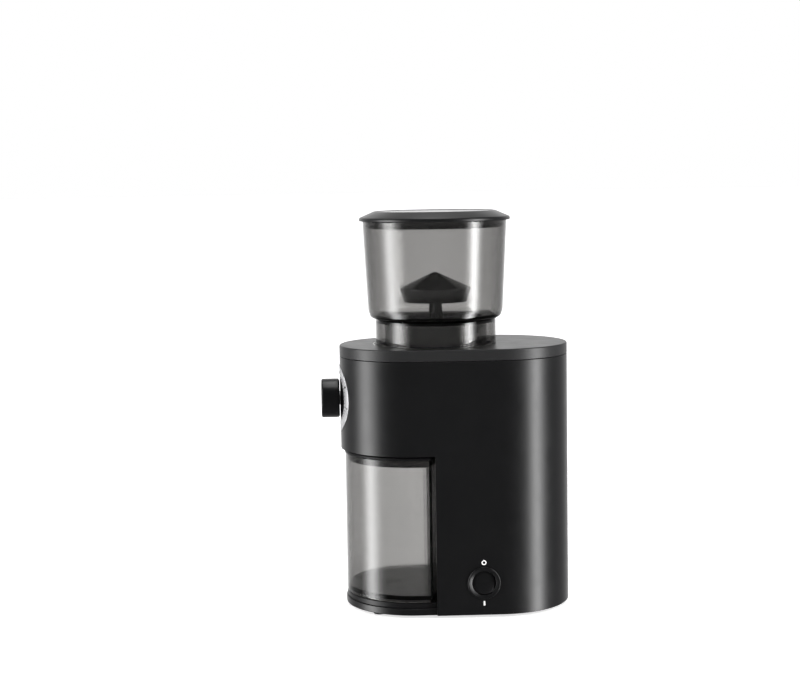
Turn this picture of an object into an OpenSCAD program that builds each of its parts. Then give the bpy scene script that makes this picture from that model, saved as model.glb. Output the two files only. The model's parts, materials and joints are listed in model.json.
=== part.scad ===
// Burr coffee grinder, assembled.
// Millimetres, +Z up, front towards -Y, origin on the table under the middle of the whole.
// Everything on the burr axis stands at grind_y: hopper, ring burr, cone burr and drive shaft.

/* [Body] */
// Length of the body, front to back
body_l = 200; // [199:0.5:203]
// Width of the body, and diameter of its round ends
body_w = 128; // [127.5:0.1:129]
// Height of the top face above the table
body_h = 231; // [230.8:0.1:231.8]
// Height of the seam under the top cover
seam_z = 221.4; // [220:0.2:223]
// Height of the underside of the head
head_z = 140.3; // [139.8:0.1:140.4]
// Thickness of the moulded walls
wall = 2.4; // [2:0.1:2.5]
// Distance from the front of the body to the burr axis
grind_back = 85; // [84:0.5:86]
// Distance from the front of the body to the edge of the column
bay_d = 79.5; // [78:0.5:80]

/* [Grounds container] */
// Radius of the container's round front
jar_r = 61; // [60.5:0.1:61.2]
// Depth of the container, from its front to the point of its back
jar_l = 89.7; // [88:0.1:90]
// Height of the container with its lid
jar_h = 125.5; // [123:0.5:126]

/* [Hopper] */
// Outer radius of the bowl at its rim
bowl_rim_r = 62.9; // [62:0.1:63.5]
// Outer radius of the bowl above its bottom corner
bowl_foot_r = 59; // [58.5:0.1:60]
// Height of the bowl's rim
bowl_rim_z = 338.5; // [330:0.5:345]
// Outer radius of the lid's brim
lid_r = 66; // [65:0.5:68]

/* [Knob and dial] */
// Radius of the knob
knob_r = 17.1; // [16:0.1:18]
// How far the knob stands out of the body
knob_out = 16.5; // [15:0.5:18]
// Height of the knob's axis
knob_z = 184; // [183.9:0.05:184.1]
// Outer radius of the dial ring
dial_r = 29.5; // [28:0.5:31]
// Inner radius of the dial ring
dial_in_r = 21.4; // [20:0.2:23]

/* [Power switch] */
// Radius of the rocker button
rocker_r = 9.85; // [9.5:0.05:9.9]
// How far the rocker tips to each side of its middle
rocker_tilt = 9; // [7:1:10]
// Height of the switch's centre
switch_z = 30.3; // [29:0.1:32]

/* [Drive] */
// Teeth of each small gear
small_teeth = 12; // [12]
// Teeth of each large gear
large_teeth = 48; // [48]
// Teeth that a full circle of the adjuster ring would have
ring_teeth = 76; // [76]
// Radius of the ring burr's steel
burr_r = 25.35; // [25.2:0.05:25.4]
// Thickness of the bail's wire
bail_wire = 2.1; // [2:0.05:2.2]

/* [Hidden] */
$fn = 96;

// Plan of the body
half_w = body_w / 2;
front_y = (knob_out - body_l) / 2;
rear_y = front_y + body_l;
arc_front = front_y + half_w;
arc_rear = rear_y - half_w;
bay_y = front_y + bay_d;
grind_y = front_y + grind_back;
inner_r = half_w - wall;
far = 400;
eps = 0.01;

// Floor of the grinder
foot_h = 2.5;
base_h = 6;
base_r = inner_r - 0.1;
tray_r = base_r - 1.1;
tray_z = foot_h + base_h + 0.2;
tray_top = 13.3;
v_tip_y = bay_y + 15.65;
v_side_y = bay_y + 0.95;
tongue_w = 11;
tongue_y = grind_y - 43.5;
bump_r = 4.2;

// Gear train
compound_y = grind_y + (small_teeth + large_teeth) / 2;
motor_y = compound_y + (small_teeth + large_teeth) / 2;
addendum = 0.8;
dedendum = 1.1;
tip_half = 0.3;
root_half = 0.75;
case_wall = 2;
case_r = large_teeth / 2 + addendum + 1.2 + case_wall;
floor_t = 2.2;
case_z = head_z + floor_t;
case_top = case_z + 16.5;
low_gear_z = case_z + 3.3;
low_gear_h = 4.5;
high_gear_z = case_z + 9;
high_gear_h = 6;
bearing_h = 7;
bearing_r = 11;
journal_r = 4;
fit = 0.05;
low_journal_r = 3;
idler_r = 2.5;

// Grind chamber
chamber_z = case_top + bearing_h;
chamber_floor = chamber_z + 2.5;
chamber_r = 33.5;
chamber_in_r = 31.5;
mesh_z = knob_z + small_teeth / 2;
flange_z = mesh_z + 1.3;
chamber_top = mesh_z - 1.8;
burr_z = knob_z;
outlet_w = 28;
outlet_h = 6.5;
collar_r = 38.2;
collar_in_r = 36.2;
collar_top = body_h - 1.7;
well_r = 47;
well_z = body_h - 19;

// Burr set
carrier_r = 31.4;
carrier_z = burr_z + 17.8;
carrier_top = carrier_z + 13;
step_top = carrier_top + 3.1;
rim_r = 23.8;
rim_top = carrier_top + 7.2;
throat_r = 22.4;
pivot_z = carrier_top + 4.7;
bail_span = 30.5;
bail_rise = 29;
bail_dip = 2.6;
lug_in = 27.3;
lug_out = 29.2;

// Hopper
ring_r = 44.8;
ring_in_r = 42.6;
skirt_r = 52.7;
bowl_wall = 2.2;
ring_bottom = body_h - 12.3;
funnel_bottom = body_h - 6.4;
skirt_bottom = body_h + 0.2;
bowl_bottom = body_h + 22;
bowl_foot_z = body_h + 30;

// Grounds container
jar_z = tray_top + 0.2;
jar_wall = 2.2;
jar_floor = 5;
jar_front = front_y + 3.5;
jar_arc_y = jar_front + jar_r;
jar_tip_y = jar_front + jar_l;
jar_side_y = jar_tip_y - 17.3;
lid_t = 2.6;
foot_rim = 2.2;
jar_rim = jar_z + jar_h - lid_t;
knob_skirt = 1.5;
hood_half = 32;
hood_drop = 9;
hood_rise = 0.7;
scoop_r = 14;
scoop_x = 21;
scoop_y = jar_tip_y - 14;

// Chute
chute_front = grind_y - 50;
chute_rear = grind_y - 35.4;
chute_half = outlet_w / 2 + 0.5;
chute_t = 1.5;

// Switch
switch_y = front_y + 119.8;
rocker_x = half_w - 2;

// Colours
black = "#1c1c1e";
dark = "#2b2b2d";
grey = "#5a5a5c";
smoke = "#6f6a66";
steel = "#b9babc";
white_ink = "#e6e6e6";
rubber = "#151515";

// ---- shared shapes ----

module up(z) {
    translate([0, 0, z]) children();
}

module on_burr_axis(z) {
    translate([0, grind_y, z]) children();
}

module ring(r_out, r_in, h) {
    linear_extrude(h) difference() {
        circle(r_out);
        circle(r_in);
    }
}

// Plan with round ends, the body's own shape at any radius.
module oblong(r) {
    translate([0, arc_front]) circle(r);
    translate([0, arc_rear]) circle(r);
    translate([-r, arc_front]) square([2 * r, arc_rear - arc_front]);
}

// Solid of that plan with its top edge rounded.
module oblong_solid(r, h, edge) {
    module half() {
        square([r - edge, h]);
        square([r, h - edge]);
        translate([r - edge, h - edge]) circle(edge);
    }
    translate([0, arc_front, 0]) rotate_extrude() half();
    translate([0, arc_rear, 0]) rotate_extrude() half();
    translate([0, arc_rear, 0]) rotate([90, 0, 0]) linear_extrude(arc_rear - arc_front) {
        half();
        mirror([1, 0]) half();
    }
}

// Plan of everything in front of the V-shaped wall of the bay.
module before_v(back) {
    slope = (v_tip_y - v_side_y) / base_r;
    polygon([
        [-far, -far], [far, -far], [far, v_tip_y + back - slope * far],
        [0, v_tip_y + back], [-far, v_tip_y + back - slope * far]
    ]);
}

// A solid turned to lie along -Y from the body's front, on the knob's axis.
module on_knob_axis(y) {
    translate([0, y, knob_z]) rotate([90, 0, 0]) children();
}

// A thin skin on the front of the head, between two distances from its surface.
module front_skin(low, high) {
    up(head_z) linear_extrude(seam_z - head_z) difference() {
        oblong(half_w + high);
        oblong(half_w + low);
    }
}

// Gear outline of module 1 with straight-sided teeth, slim for backlash.
function polar(r, a) = [r * cos(a), r * sin(a)];
function gear_outline(n) = let (
        root = n / 2 - dedendum,
        tip = n / 2 + addendum,
        root_a = asin(root_half / root),
        tip_a = asin(tip_half / tip)
    ) [
        for (i = [0 : n - 1])
            let (a = 360 * i / n)
            each [
                polar(root, a - root_a), polar(tip, a - tip_a),
                polar(tip, a + tip_a), polar(root, a + root_a)
            ]
    ];

module gear(n, h, bore) {
    linear_extrude(h) difference() {
        polygon(gear_outline(n));
        circle(bore);
    }
}

// ---- body ----

module housing_shell() {
    color(black) difference() {
        up(foot_h) linear_extrude(seam_z - 0.3 - foot_h) difference() {
            oblong(half_w);
            oblong(inner_r);
        }
        translate([-far / 2, -far, -eps]) cube([far, far + bay_y, head_z + eps]);
        on_knob_axis(front_y + 10) cylinder(r = 6, h = 20);
        translate([half_w - 10, switch_y, switch_z]) rotate([0, 90, 0]) cylinder(r = 12, h = 20);
        translate([0, rear_y + 5, 22]) rotate([90, 0, 0]) cylinder(r = 7, h = 15);
    }
}

module top_cover() {
    color(black) difference() {
        union() {
            difference() {
                up(seam_z) oblong_solid(half_w, body_h - seam_z, 2.5);
                up(seam_z - eps) linear_extrude(body_h - seam_z - 3) oblong(inner_r);
            }
            on_burr_axis(well_z) ring(well_r + wall, well_r, body_h - well_z - 1);
            on_burr_axis(well_z) ring(well_r + wall, collar_r, 2);
        }
        on_burr_axis(well_z + 2) cylinder(r = well_r, h = far);
        for (side = [-1, 1])
            translate([-7.5, grind_y + side * 25 - 25, well_z + 2]) intersection() {
                cube([15, 50, far]);
                translate([7.5, 25 - side * 25, 0]) cylinder(r = well_r + 2.2, h = far);
            }
    }
}

module bay_wall() {
    color(dark) up(tray_z) linear_extrude(case_z - tray_z) intersection() {
        difference() {
            before_v(2.2);
            before_v(0);
        }
        oblong(base_r);
    }
}

module head_floor() {
    color(dark) up(head_z) linear_extrude(floor_t) difference() {
        intersection() {
            oblong(base_r);
            before_v(0);
        }
        translate([-chute_half - chute_t, chute_front - chute_t])
            square([2 * (chute_half + chute_t), chute_rear - chute_front + 2 * chute_t]);
    }
}

screw_spots = [[-50, -20], [50, -20], [-44, 74], [44, 74]];

module base_plate() {
    color(dark) difference() {
        up(foot_h) linear_extrude(base_h) oblong(base_r);
        for (p = screw_spots) translate([p[0], p[1], foot_h - eps]) {
            cylinder(r = 1.8, h = base_h + 1);
            cylinder(r = 3.6, h = 2.2 + eps);
        }
    }
}

module tongue_slot() {
    translate([0, tongue_y]) difference() {
        union() {
            circle(tongue_w + 0.6);
            translate([-tongue_w - 0.6, -25.5]) square([2 * tongue_w + 1.2, 25.5]);
        }
        circle(tongue_w - 0.6);
        translate([-tongue_w + 0.6, -26]) square([2 * tongue_w - 1.2, 26]);
    }
}

module tray_cover() {
    color(black) {
        up(tray_top - 2.2) linear_extrude(2.2) difference() {
            intersection() {
                oblong(tray_r);
                before_v(-0.1);
            }
            tongue_slot();
        }
        up(tray_z) linear_extrude(tray_top - 2.2 - tray_z) intersection() {
            difference() {
                oblong(tray_r);
                oblong(tray_r - 2);
            }
            before_v(-0.1);
        }
        translate([0, tongue_y + 2, tray_top]) linear_extrude(0.9) {
            translate([0, -1.2]) circle(bump_r);
            translate([0, 1.2]) circle(bump_r);
            translate([-bump_r, -1.2]) square([2 * bump_r, 2.4]);
        }
    }
}

module rubber_feet() {
    color(rubber) for (p = [[-40, -61], [40, -61], [-44, 61.5], [44, 61.5]])
        translate([p[0], p[1], 0]) {
            cylinder(r1 = 5, r2 = 5.6, h = 1);
            up(1) cylinder(r = 5.6, h = foot_h - 1);
        }
}

module base_screws() {
    color(steel) for (p = screw_spots) translate([p[0], p[1], foot_h]) difference() {
        union() {
            up(0.2) cylinder(r = 3.3, h = 2);
            up(2.2) cylinder(r = 1.7, h = 5.6);
        }
        for (a = [0, 90]) rotate([0, 0, a]) translate([-2.2, -0.4, 0]) cube([4.4, 0.8, 1.2]);
    }
}

// ---- dial, knob and marks ----

module dial_ring() {
    color(grey) intersection() {
        front_skin(0, 0.5);
        on_knob_axis(arc_front) ring(dial_r, dial_in_r, half_w + 5);
    }
}

module dial_marks() {
    color(rubber) intersection() {
        front_skin(0.5, 0.75);
        on_knob_axis(arc_front) linear_extrude(half_w + 5) for (i = [0 : 34])
            rotate(270 * i / 34 - 135) translate([0, i % 5 == 4 ? 22.4 : 23.2])
                translate([-0.35, 0]) square([0.7, i % 5 == 4 ? 2.4 : 1.6]);
    }
}

module knob_bush() {
    color(steel) {
        on_knob_axis(front_y + 8) ring(6, journal_r, 8.8);
        on_knob_axis(front_y - 0.8) ring(8.5, journal_r, 0.5);
    }
}

// The bar let into the knob's face, pointing at the start of the scale.
module pointer_bar(h) {
    on_knob_axis(front_y - knob_out + 0.4) rotate(135) translate([-0.8, 6, 0]) cube([1.6, 7.5, h]);
}

module knob_cap() {
    color(black) difference() {
        on_knob_axis(front_y - 2) rotate_extrude() polygon([
            [0, 0], [9.2, 0], [9.2, -knob_skirt], [knob_r - 0.6, -knob_skirt],
            [knob_r, 0.6 - knob_skirt], [knob_r, knob_out - 4], [knob_r - 2, knob_out - 2],
            [0, knob_out - 2]
        ]);
        on_knob_axis(front_y) cylinder(r = journal_r - fit, h = knob_out - 3);
        pointer_bar(1.4);
    }
}

module knob_pointer() {
    color(white_ink) pointer_bar(0.4);
}

module knob_shaft() {
    color(steel) on_knob_axis(grind_y - 34.4)
        cylinder(r = journal_r - fit, h = grind_back - 34.4 + knob_out - 3);
}

module knob_pinion() {
    color(steel) on_knob_axis(grind_y - 35) gear(small_teeth, 6, journal_r - fit);
}

module printed_marks() {
    color(white_ink) {
        translate([half_w, switch_y, switch_z + 17.8]) rotate([0, 90, 0]) ring(2.1, 1.15, 0.2);
        translate([half_w, switch_y - 0.7, switch_z - 19.45]) cube([0.2, 1.4, 4]);
        on_burr_axis(body_h) intersection() {
            ring(55.6, 54.4, 0.2);
            rotate([0, 0, -102]) linear_extrude(1) polygon([[0, 0], polar(99, 0), polar(99, 24)]);
        }
    }
}

// ---- power switch ----

module on_switch_axis(x) {
    translate([x, switch_y, switch_z]) rotate([0, 90, 0]) children();
}

module switch_bezel() {
    color(black) on_switch_axis(half_w - 8) rotate_extrude() polygon([
        [10.3, 0], [11.9, 0], [11.9, 8], [14, 8], [14, 8.7], [13.4, 9.3], [12.9, 9.2],
        [10.3, 8.3]
    ]);
}

module switch_body() {
    color(dark) {
        translate([half_w - 28, switch_y - 11, switch_z - 9]) cube([19.8, 22, 18]);
        for (dy = [-6, 2]) translate([half_w - 36, switch_y + dy, switch_z - 3]) cube([8.2, 4, 6]);
    }
}

// A barrel with two flat faces that meet in a shallow valley, tipped so that its top is in.
module rocker_button() {
    face_end = 0.4 + 12 * tan(rocker_tilt);
    color(black) translate([rocker_x, switch_y, switch_z]) rotate([0, -rocker_tilt, 0])
        difference() {
            rotate([0, 90, 0]) rotate_extrude() intersection() {
                circle(10.15);
                translate([0, -4.6]) square([rocker_r, 14]);
            }
            rotate([90, 0, 0]) linear_extrude(40, center = true)
                polygon([[20, -12], [face_end, -12], [0.4, 0], [face_end, 12], [20, 12]]);
        }
}

// ---- chamber, chute and adjuster ----

module burr_collar() {
    color(steel) on_burr_axis(flange_z + 4.7)
        ring(collar_r, collar_in_r, collar_top - flange_z - 4.7);
}

module grind_chamber() {
    color(dark) difference() {
        on_burr_axis(case_top + 2) {
            difference() {
                up(bearing_h - 2) cylinder(r = chamber_r, h = chamber_top - 2 - chamber_z);
                up(chamber_floor - case_top - 2) cylinder(r = chamber_in_r, h = far);
                cylinder(r = 9.1, h = far);
            }
            for (a = [45 : 90 : 315])
                rotate([0, 0, a]) translate([21, 0, 0]) cylinder(r = 3, h = bearing_h - 2);
        }
        translate([-outlet_w / 2, grind_y - 40, chamber_floor]) cube([outlet_w, 20, outlet_h]);
    }
}

module chamber_ring() {
    color(dark) on_burr_axis(chamber_top - 2) ring(chamber_r, 26.9, 2);
}

module chute() {
    outer = chute_half + chute_t;
    color(dark) difference() {
        union() {
            translate([-outer, chute_front - chute_t, head_z])
                cube([2 * outer, chute_rear - chute_front + 2 * chute_t, chamber_floor - head_z]);
            translate([-outer, chute_front - chute_t, chamber_floor - 1.5])
                cube([2 * outer, 22, outlet_h + 3]);
        }
        translate([-chute_half, chute_front, head_z - 1])
            cube([2 * chute_half, chute_rear - chute_front, chamber_floor + outlet_h - head_z + 1]);
        translate([-chute_half, chute_front, chamber_floor]) cube([2 * chute_half, 40, outlet_h]);
        on_burr_axis(case_z) cylinder(r = chamber_r, h = far);
    }
}

module shaft_seal() {
    color(rubber) on_burr_axis(chamber_z) ring(9.1, journal_r, 3);
}

// Carries the burr set, and turns under the knob's pinion by a sector of face teeth.
module adjuster_ring() {
    pitch = 360 / ring_teeth;
    color(dark) {
        difference() {
            on_burr_axis(0) rotate_extrude() polygon([
                [27, flange_z], [42, flange_z], [42, flange_z + 2.1], [34.5, flange_z + 2.1],
                [34.5, carrier_top - 2], [32, carrier_top - 2], [32, carrier_z - 0.3],
                [27, carrier_z - 0.3], [27, carrier_z - 2.5], [32, carrier_z - 2.5],
                [32, flange_z + 2.1], [27, flange_z + 2.1]
            ]);
            translate([-5, grind_y - 50, carrier_top - 4.5]) cube([10, 100, 10]);
        }
        on_burr_axis(0) for (k = [-11 : 2])
            rotate([0, 0, 270 + (k + 0.5) * pitch]) translate([35, 0, 0]) rotate([90, 0, 90])
                linear_extrude(6) polygon([
                    [-tip_half, mesh_z - addendum], [tip_half, mesh_z - addendum],
                    [root_half, flange_z + 0.2], [-root_half, flange_z + 0.2]
                ]);
    }
}

// ---- burr set ----

module burr_carrier() {
    color(black) difference() {
        union() {
            on_burr_axis(0) rotate_extrude() polygon([
                [throat_r, carrier_z + 4.2], [29.4, carrier_z + 4.2], [29.4, carrier_z],
                [carrier_r, carrier_z], [carrier_r, carrier_top - 0.6],
                [carrier_r - 0.6, carrier_top], [28, carrier_top], [28, step_top - 0.4],
                [27.6, step_top], [rim_r, step_top], [rim_r, rim_top], [throat_r, rim_top]
            ]);
            for (side = [-1, 1]) {
                translate([-2.5, grind_y + side * (lug_in + lug_out) / 2 - 0.95, carrier_top - 1])
                    cube([5, lug_out - lug_in, 7.5]);
                translate([-4, grind_y + side * 32 - 1.4, carrier_top - 3.4]) cube([8, 2.8, 2.6]);
            }
        }
        on_burr_axis(pivot_z) rotate([90, 0, 0])
            cylinder(r = bail_wire / 2 + fit, h = 70, center = true);
        on_burr_axis(rim_top - 9) cylinder(r = throat_r, h = 20);
        on_burr_axis(carrier_z) for (a = [22.5 : 45 : 360])
            rotate([0, 0, a]) translate([26, 0, 0]) rotate([90, 0, 90]) linear_extrude(10) {
                polygon([[-2.1, -1], [2.1, -1], [0.6, 3], [-0.6, 3]]);
                translate([0, 4]) circle(1.2);
            }
    }
}

module ring_burr() {
    color(steel) on_burr_axis(burr_z) rotate_extrude() polygon([
        [21.6, 0], [burr_r - 0.9, 0], [burr_r - 0.3, 0.7], [burr_r - 0.2, 2.2],
        [burr_r - 1.3, 2.2], [burr_r - 1.3, 4.8], [burr_r, 4.8], [burr_r, 22], [throat_r, 22],
        [17.8, 14]
    ]);
}

module burr_oring() {
    color(rubber) on_burr_axis(burr_z + 3.5) rotate_extrude() translate([burr_r - 0.1, 0]) circle(1.2);
}

// The wire's path, lying flat over the carrier: a low arch with a dip in its middle.
function bail_x(y) = bail_rise * sqrt(max(0, 1 - pow(y / bail_span, 2)))
    - bail_dip * exp(-pow(y / 5, 2));
bail_steps = 36;
bail_path = [
    for (i = [0 : bail_steps])
        let (y = -bail_span * cos(180 * i / bail_steps))
        [bail_x(y), y]
];
function bail_turn(i) = let (
        a = bail_path[max(i - 1, 0)],
        b = bail_path[min(i + 1, bail_steps)]
    ) i == 0 || i == bail_steps ? [0, i == 0 ? -1 : 1] : [b[1] - a[1], a[0] - b[0]] / norm(b - a);
bail_sides = 10;

module bail() {
    r = bail_wire / 2;
    points = [
        for (i = [0 : bail_steps], k = [0 : bail_sides - 1])
            let (n = bail_turn(i), a = 360 * k / bail_sides)
            [
                bail_path[i][0] + r * cos(a) * n[0],
                bail_path[i][1] + r * cos(a) * n[1],
                r * sin(a)
            ]
    ];
    walls = [
        for (i = [0 : bail_steps - 1], k = [0 : bail_sides - 1])
            let (m = (k + 1) % bail_sides, p = i * bail_sides, q = p + bail_sides)
            [p + m, q + m, q + k, p + k]
    ];
    ends = [
        [for (k = [bail_sides - 1 : -1 : 0]) k],
        [for (k = [0 : bail_sides - 1]) bail_steps * bail_sides + k]
    ];
    color(steel) on_burr_axis(pivot_z) {
        polyhedron(points, concat(walls, ends));
        for (side = [-1, 1]) {
            translate([0, side * (lug_in + 1.5), 0]) rotate([90, 0, 0])
                cylinder(r = r, h = 5.2, center = true);
            translate([0, side * bail_span, 0]) sphere(r = r);
        }
    }
}

// ---- hopper ----

module hopper_bowl() {
    color(smoke, 0.5) difference() {
        union() {
            on_burr_axis(0) rotate_extrude() polygon([
                [bowl_rim_r, bowl_rim_z], [bowl_foot_r, bowl_foot_z],
                [bowl_foot_r - 1.2, bowl_bottom + 3.4], [bowl_foot_r - 3.2, bowl_bottom + 1],
                [bowl_foot_r - 5.2, bowl_bottom], [skirt_r, bowl_bottom - 0.6],
                [skirt_r, skirt_bottom], [skirt_r - bowl_wall, skirt_bottom],
                [skirt_r - bowl_wall, bowl_bottom - 2.2], [ring_r, bowl_bottom - 2.2],
                [ring_r, ring_bottom], [ring_in_r, ring_bottom], [ring_in_r, bowl_bottom],
                [bowl_foot_r - 5.8, bowl_bottom + 2.2], [bowl_foot_r - 3.6, bowl_bottom + 4.4],
                [bowl_foot_r - bowl_wall, bowl_foot_z + 0.2],
                [bowl_rim_r - bowl_wall, bowl_rim_z]
            ]);
            for (side = [-1, 1])
                translate([-6.5, grind_y + side * 45 - 1.5, ring_bottom + 0.8]) cube([13, 3, 3]);
        }
        on_burr_axis(ring_bottom - 1) for (half = [0, 180], a = [48, 57, 66, 75, 105, 114, 123, 132])
            rotate([0, 0, half + a]) translate([ring_in_r - 1, -1.3, 0]) cube([5, 2.6, 4.5]);
    }
}

module hopper_funnel() {
    color(dark) on_burr_axis(0) rotate_extrude() polygon([
        [24.4, funnel_bottom], [26.2, funnel_bottom], [ring_in_r, bowl_bottom - 6],
        [ring_in_r, bowl_bottom - 1], [ring_in_r - 1.2, bowl_bottom - 1],
        [ring_in_r - 1.2, bowl_bottom - 4.6]
    ]);
}

module bean_guard() {
    guard_z = bowl_bottom + 14.5;
    color(black) {
        on_burr_axis(guard_z) rotate_extrude() polygon([
            [27.5, 0], [31, 11], [31, 12.2], [2, 25.6], [0, 26], [0, 23.6], [29.2, 10.2], [25.8, 0]
        ]);
        on_burr_axis(bowl_bottom - 1) for (a = [0, 180]) rotate([0, 0, a])
            rotate([90, 0, 0]) linear_extrude(7, center = true)
                polygon([[26.6, 15.6], [26.6, 20], [28, 20], [48, 3.1], [44, 2.3], [ring_in_r - 0.3, 0.9]]);
    }
}

module hopper_gasket() {
    color(rubber) on_burr_axis(body_h - 4.8) ring(ring_in_r, collar_r + 0.4, 2.4);
}

module lid_brim() {
    plug_r = bowl_rim_r - bowl_wall - 1;
    color(black) on_burr_axis(bowl_rim_z) rotate_extrude() polygon([
        [52, 8.4], [lid_r - 0.4, 3.1], [lid_r, 2.7], [lid_r, 0.2], [plug_r, 0.2],
        [plug_r, -2.8], [plug_r - 0.6, -2.8], [plug_r - 0.6, -5], [plug_r, -5], [plug_r, -6.5],
        [plug_r - 2, -6.5], [plug_r - 2, 1.8], [52, 5.6]
    ]);
}

module lid_disc() {
    color(grey) on_burr_axis(bowl_rim_z + 5.8) cylinder(r = 52, h = 2.2);
}

module lid_seal() {
    plug_r = bowl_rim_r - bowl_wall - 1;
    color(rubber) on_burr_axis(bowl_rim_z - 5) ring(plug_r + 0.2, plug_r - 0.6, 2.2);
}

// ---- grounds container ----

// Plan of the container: a round front and a shallow point at its back, set in by a margin.
module jar_plan(inset) {
    r = jar_r - inset;
    side = jar_side_y - 0.75 * inset;
    tip = jar_tip_y - 1.04 * inset;
    intersection() {
        union() {
            translate([0, jar_arc_y]) circle(r);
            translate([-r, jar_arc_y]) square([2 * r, jar_r]);
        }
        polygon([[-r, -far], [r, -far], [r, side], [0, tip], [-r, side]]);
    }
}

module jar_body() {
    color(smoke, 0.5) difference() {
        up(jar_z) linear_extrude(jar_rim - jar_z) jar_plan(0);
        up(jar_z + jar_floor) linear_extrude(far) jar_plan(jar_wall);
        up(jar_z - 1) linear_extrude(1 + foot_rim) jar_plan(jar_wall);
        translate([-bump_r - 1, jar_tip_y - 20, jar_z - 1]) cube([2 * bump_r + 2, 40, 2.4]);
    }
}

// The stretch of the lid's plan that hoods the container's tip.
module hood_plan(inset) {
    intersection() {
        jar_plan(inset);
        translate([-hood_half, jar_tip_y - 20]) square([2 * hood_half, 40]);
    }
}

module jar_lid() {
    plug = jar_wall + 0.3;
    color(grey) difference() {
        union() {
            up(jar_rim) linear_extrude(lid_t) jar_plan(-0.5);
            up(jar_rim - 6) linear_extrude(6) difference() {
                jar_plan(plug);
                jar_plan(plug + 1.6);
            }
            up(jar_rim) linear_extrude(lid_t) hood_plan(-1.3);
            up(jar_rim - hood_drop) linear_extrude(hood_drop + lid_t + hood_rise) difference() {
                hood_plan(-1.3);
                jar_plan(-0.3);
            }
            for (side = [-1, 1]) up(jar_rim - 2.4) linear_extrude(2.4) intersection() {
                jar_plan(plug + 1.5);
                translate([side * scoop_x, scoop_y]) circle(9);
            }
        }
        up(jar_rim - 1) linear_extrude(10) polygon([
            [-24, jar_front + 31.7], [14, jar_front + 31.7], [24, jar_front + 55.7],
            [-14, jar_front + 55.7]
        ]);
        for (side = [-1, 1]) translate([side * scoop_x, scoop_y, jar_rim + lid_t + 10.8])
            sphere(r = scoop_r);
    }
}

module jar_seal() {
    color(rubber) up(jar_rim - 4) linear_extrude(2) difference() {
        jar_plan(jar_wall);
        jar_plan(jar_wall + 0.3);
    }
}

// ---- drive ----

module cone_burr() {
    color(steel) on_burr_axis(burr_z - 0.8) rotate_extrude() polygon([
        [journal_r - fit, 0], [20.4, 0], [20.4, 3.3], [11.6, 30.8], [journal_r - fit, 30.8]
    ]);
}

module drive_shaft() {
    color(steel) on_burr_axis(0) {
        up(case_z + 0.3) cylinder(r = low_journal_r - fit, h = high_gear_z - case_z - 0.3);
        up(high_gear_z) cylinder(r = journal_r - fit, h = burr_z + 30 - high_gear_z);
        up(burr_z + 30) cylinder(r = 2.9, h = 7);
    }
}

module impeller() {
    color(dark) on_burr_axis(chamber_floor + 1.2) difference() {
        union() {
            cylinder(r = 8, h = burr_z - 0.8 - chamber_floor - 1.2);
            up(6.4) cylinder(r = 18, h = 2);
            for (a = [0 : 90 : 270]) rotate([0, 0, a + 20]) translate([5, -1.5, 0])
                cube([25.6, 3, 6.6]);
        }
        up(-1) cylinder(r = journal_r - fit, h = far);
    }
}

module burr_nut() {
    color(steel) on_burr_axis(burr_z + 30) difference() {
        cylinder(r = 6.5, h = 5, $fn = 6);
        up(-1) cylinder(r = 2.9, h = far);
    }
}

module drive_gear() {
    color(white_ink) on_burr_axis(high_gear_z) gear(large_teeth, high_gear_h, journal_r - fit);
}

module compound_gear() {
    bore = idler_r + fit;
    color(white_ink) translate([0, compound_y, low_gear_z]) {
        gear(large_teeth, low_gear_h, bore);
        up(low_gear_h) rotate([0, 0, 180 / small_teeth])
            gear(small_teeth, case_top - 1 - low_gear_z - low_gear_h, bore);
    }
}

// Plan of the gearbox, grown by a margin.
module case_plan(grow) {
    r = case_r - case_wall + grow;
    translate([0, grind_y]) circle(r);
    translate([0, compound_y]) circle(r);
    translate([0, motor_y]) circle(12 + grow);
}

case_spots = [
    for (side = [-1, 1]) each [[25.6 * side, grind_y + 15], [18.9 * side, compound_y + 21.7]]
];

module gearbox_case() {
    color(dark) difference() {
        union() {
            up(case_z) linear_extrude(2) case_plan(case_wall);
            up(case_z) linear_extrude(case_top - case_z) difference() {
                case_plan(case_wall);
                case_plan(0);
            }
            for (p = case_spots) translate([p[0], p[1], case_z])
                cylinder(r = 3.4, h = case_top - case_z);
        }
        on_burr_axis(case_z - 1) cylinder(r = 4.5, h = 5);
        translate([0, compound_y, case_z - 1]) cylinder(r = idler_r, h = 5);
        translate([0, motor_y, case_z - 1]) cylinder(r = 9, h = 5);
        for (p = case_spots) translate([p[0], p[1], case_z + 5]) cylinder(r = 1.5, h = 50);
    }
}

module gearbox_lid() {
    color(dark) difference() {
        union() {
            up(case_top) linear_extrude(2) {
                case_plan(case_wall);
                for (p = case_spots) translate([p[0], p[1]]) circle(3.4);
            }
            on_burr_axis(case_top) cylinder(r = bearing_r + 2, h = bearing_h);
        }
        on_burr_axis(case_top - 1) cylinder(r = bearing_r, h = 20);
        translate([0, compound_y, case_top - 1]) cylinder(r = idler_r, h = 5);
        for (p = case_spots) translate([p[0], p[1], case_top - 1]) cylinder(r = 1.7, h = 50);
    }
}

// The four screws that hold the motor, round its axis.
module at_motor_screws() {
    for (a = [45 : 90 : 315]) rotate([0, 0, a]) translate([12, 0, 0]) children();
}

module case_screws() {
    color(steel) {
        for (p = case_spots) translate([p[0], p[1], case_top + 2]) {
            up(-11) cylinder(r = 1.5, h = 11);
            cylinder(r = 2.8, h = 1.8);
        }
        translate([0, motor_y, motor_top - 1.6]) at_motor_screws() {
            cylinder(r = 1.5, h = 3.6);
            up(3.6) cylinder(r = 2.4, h = 1.8);
        }
    }
}

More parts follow.
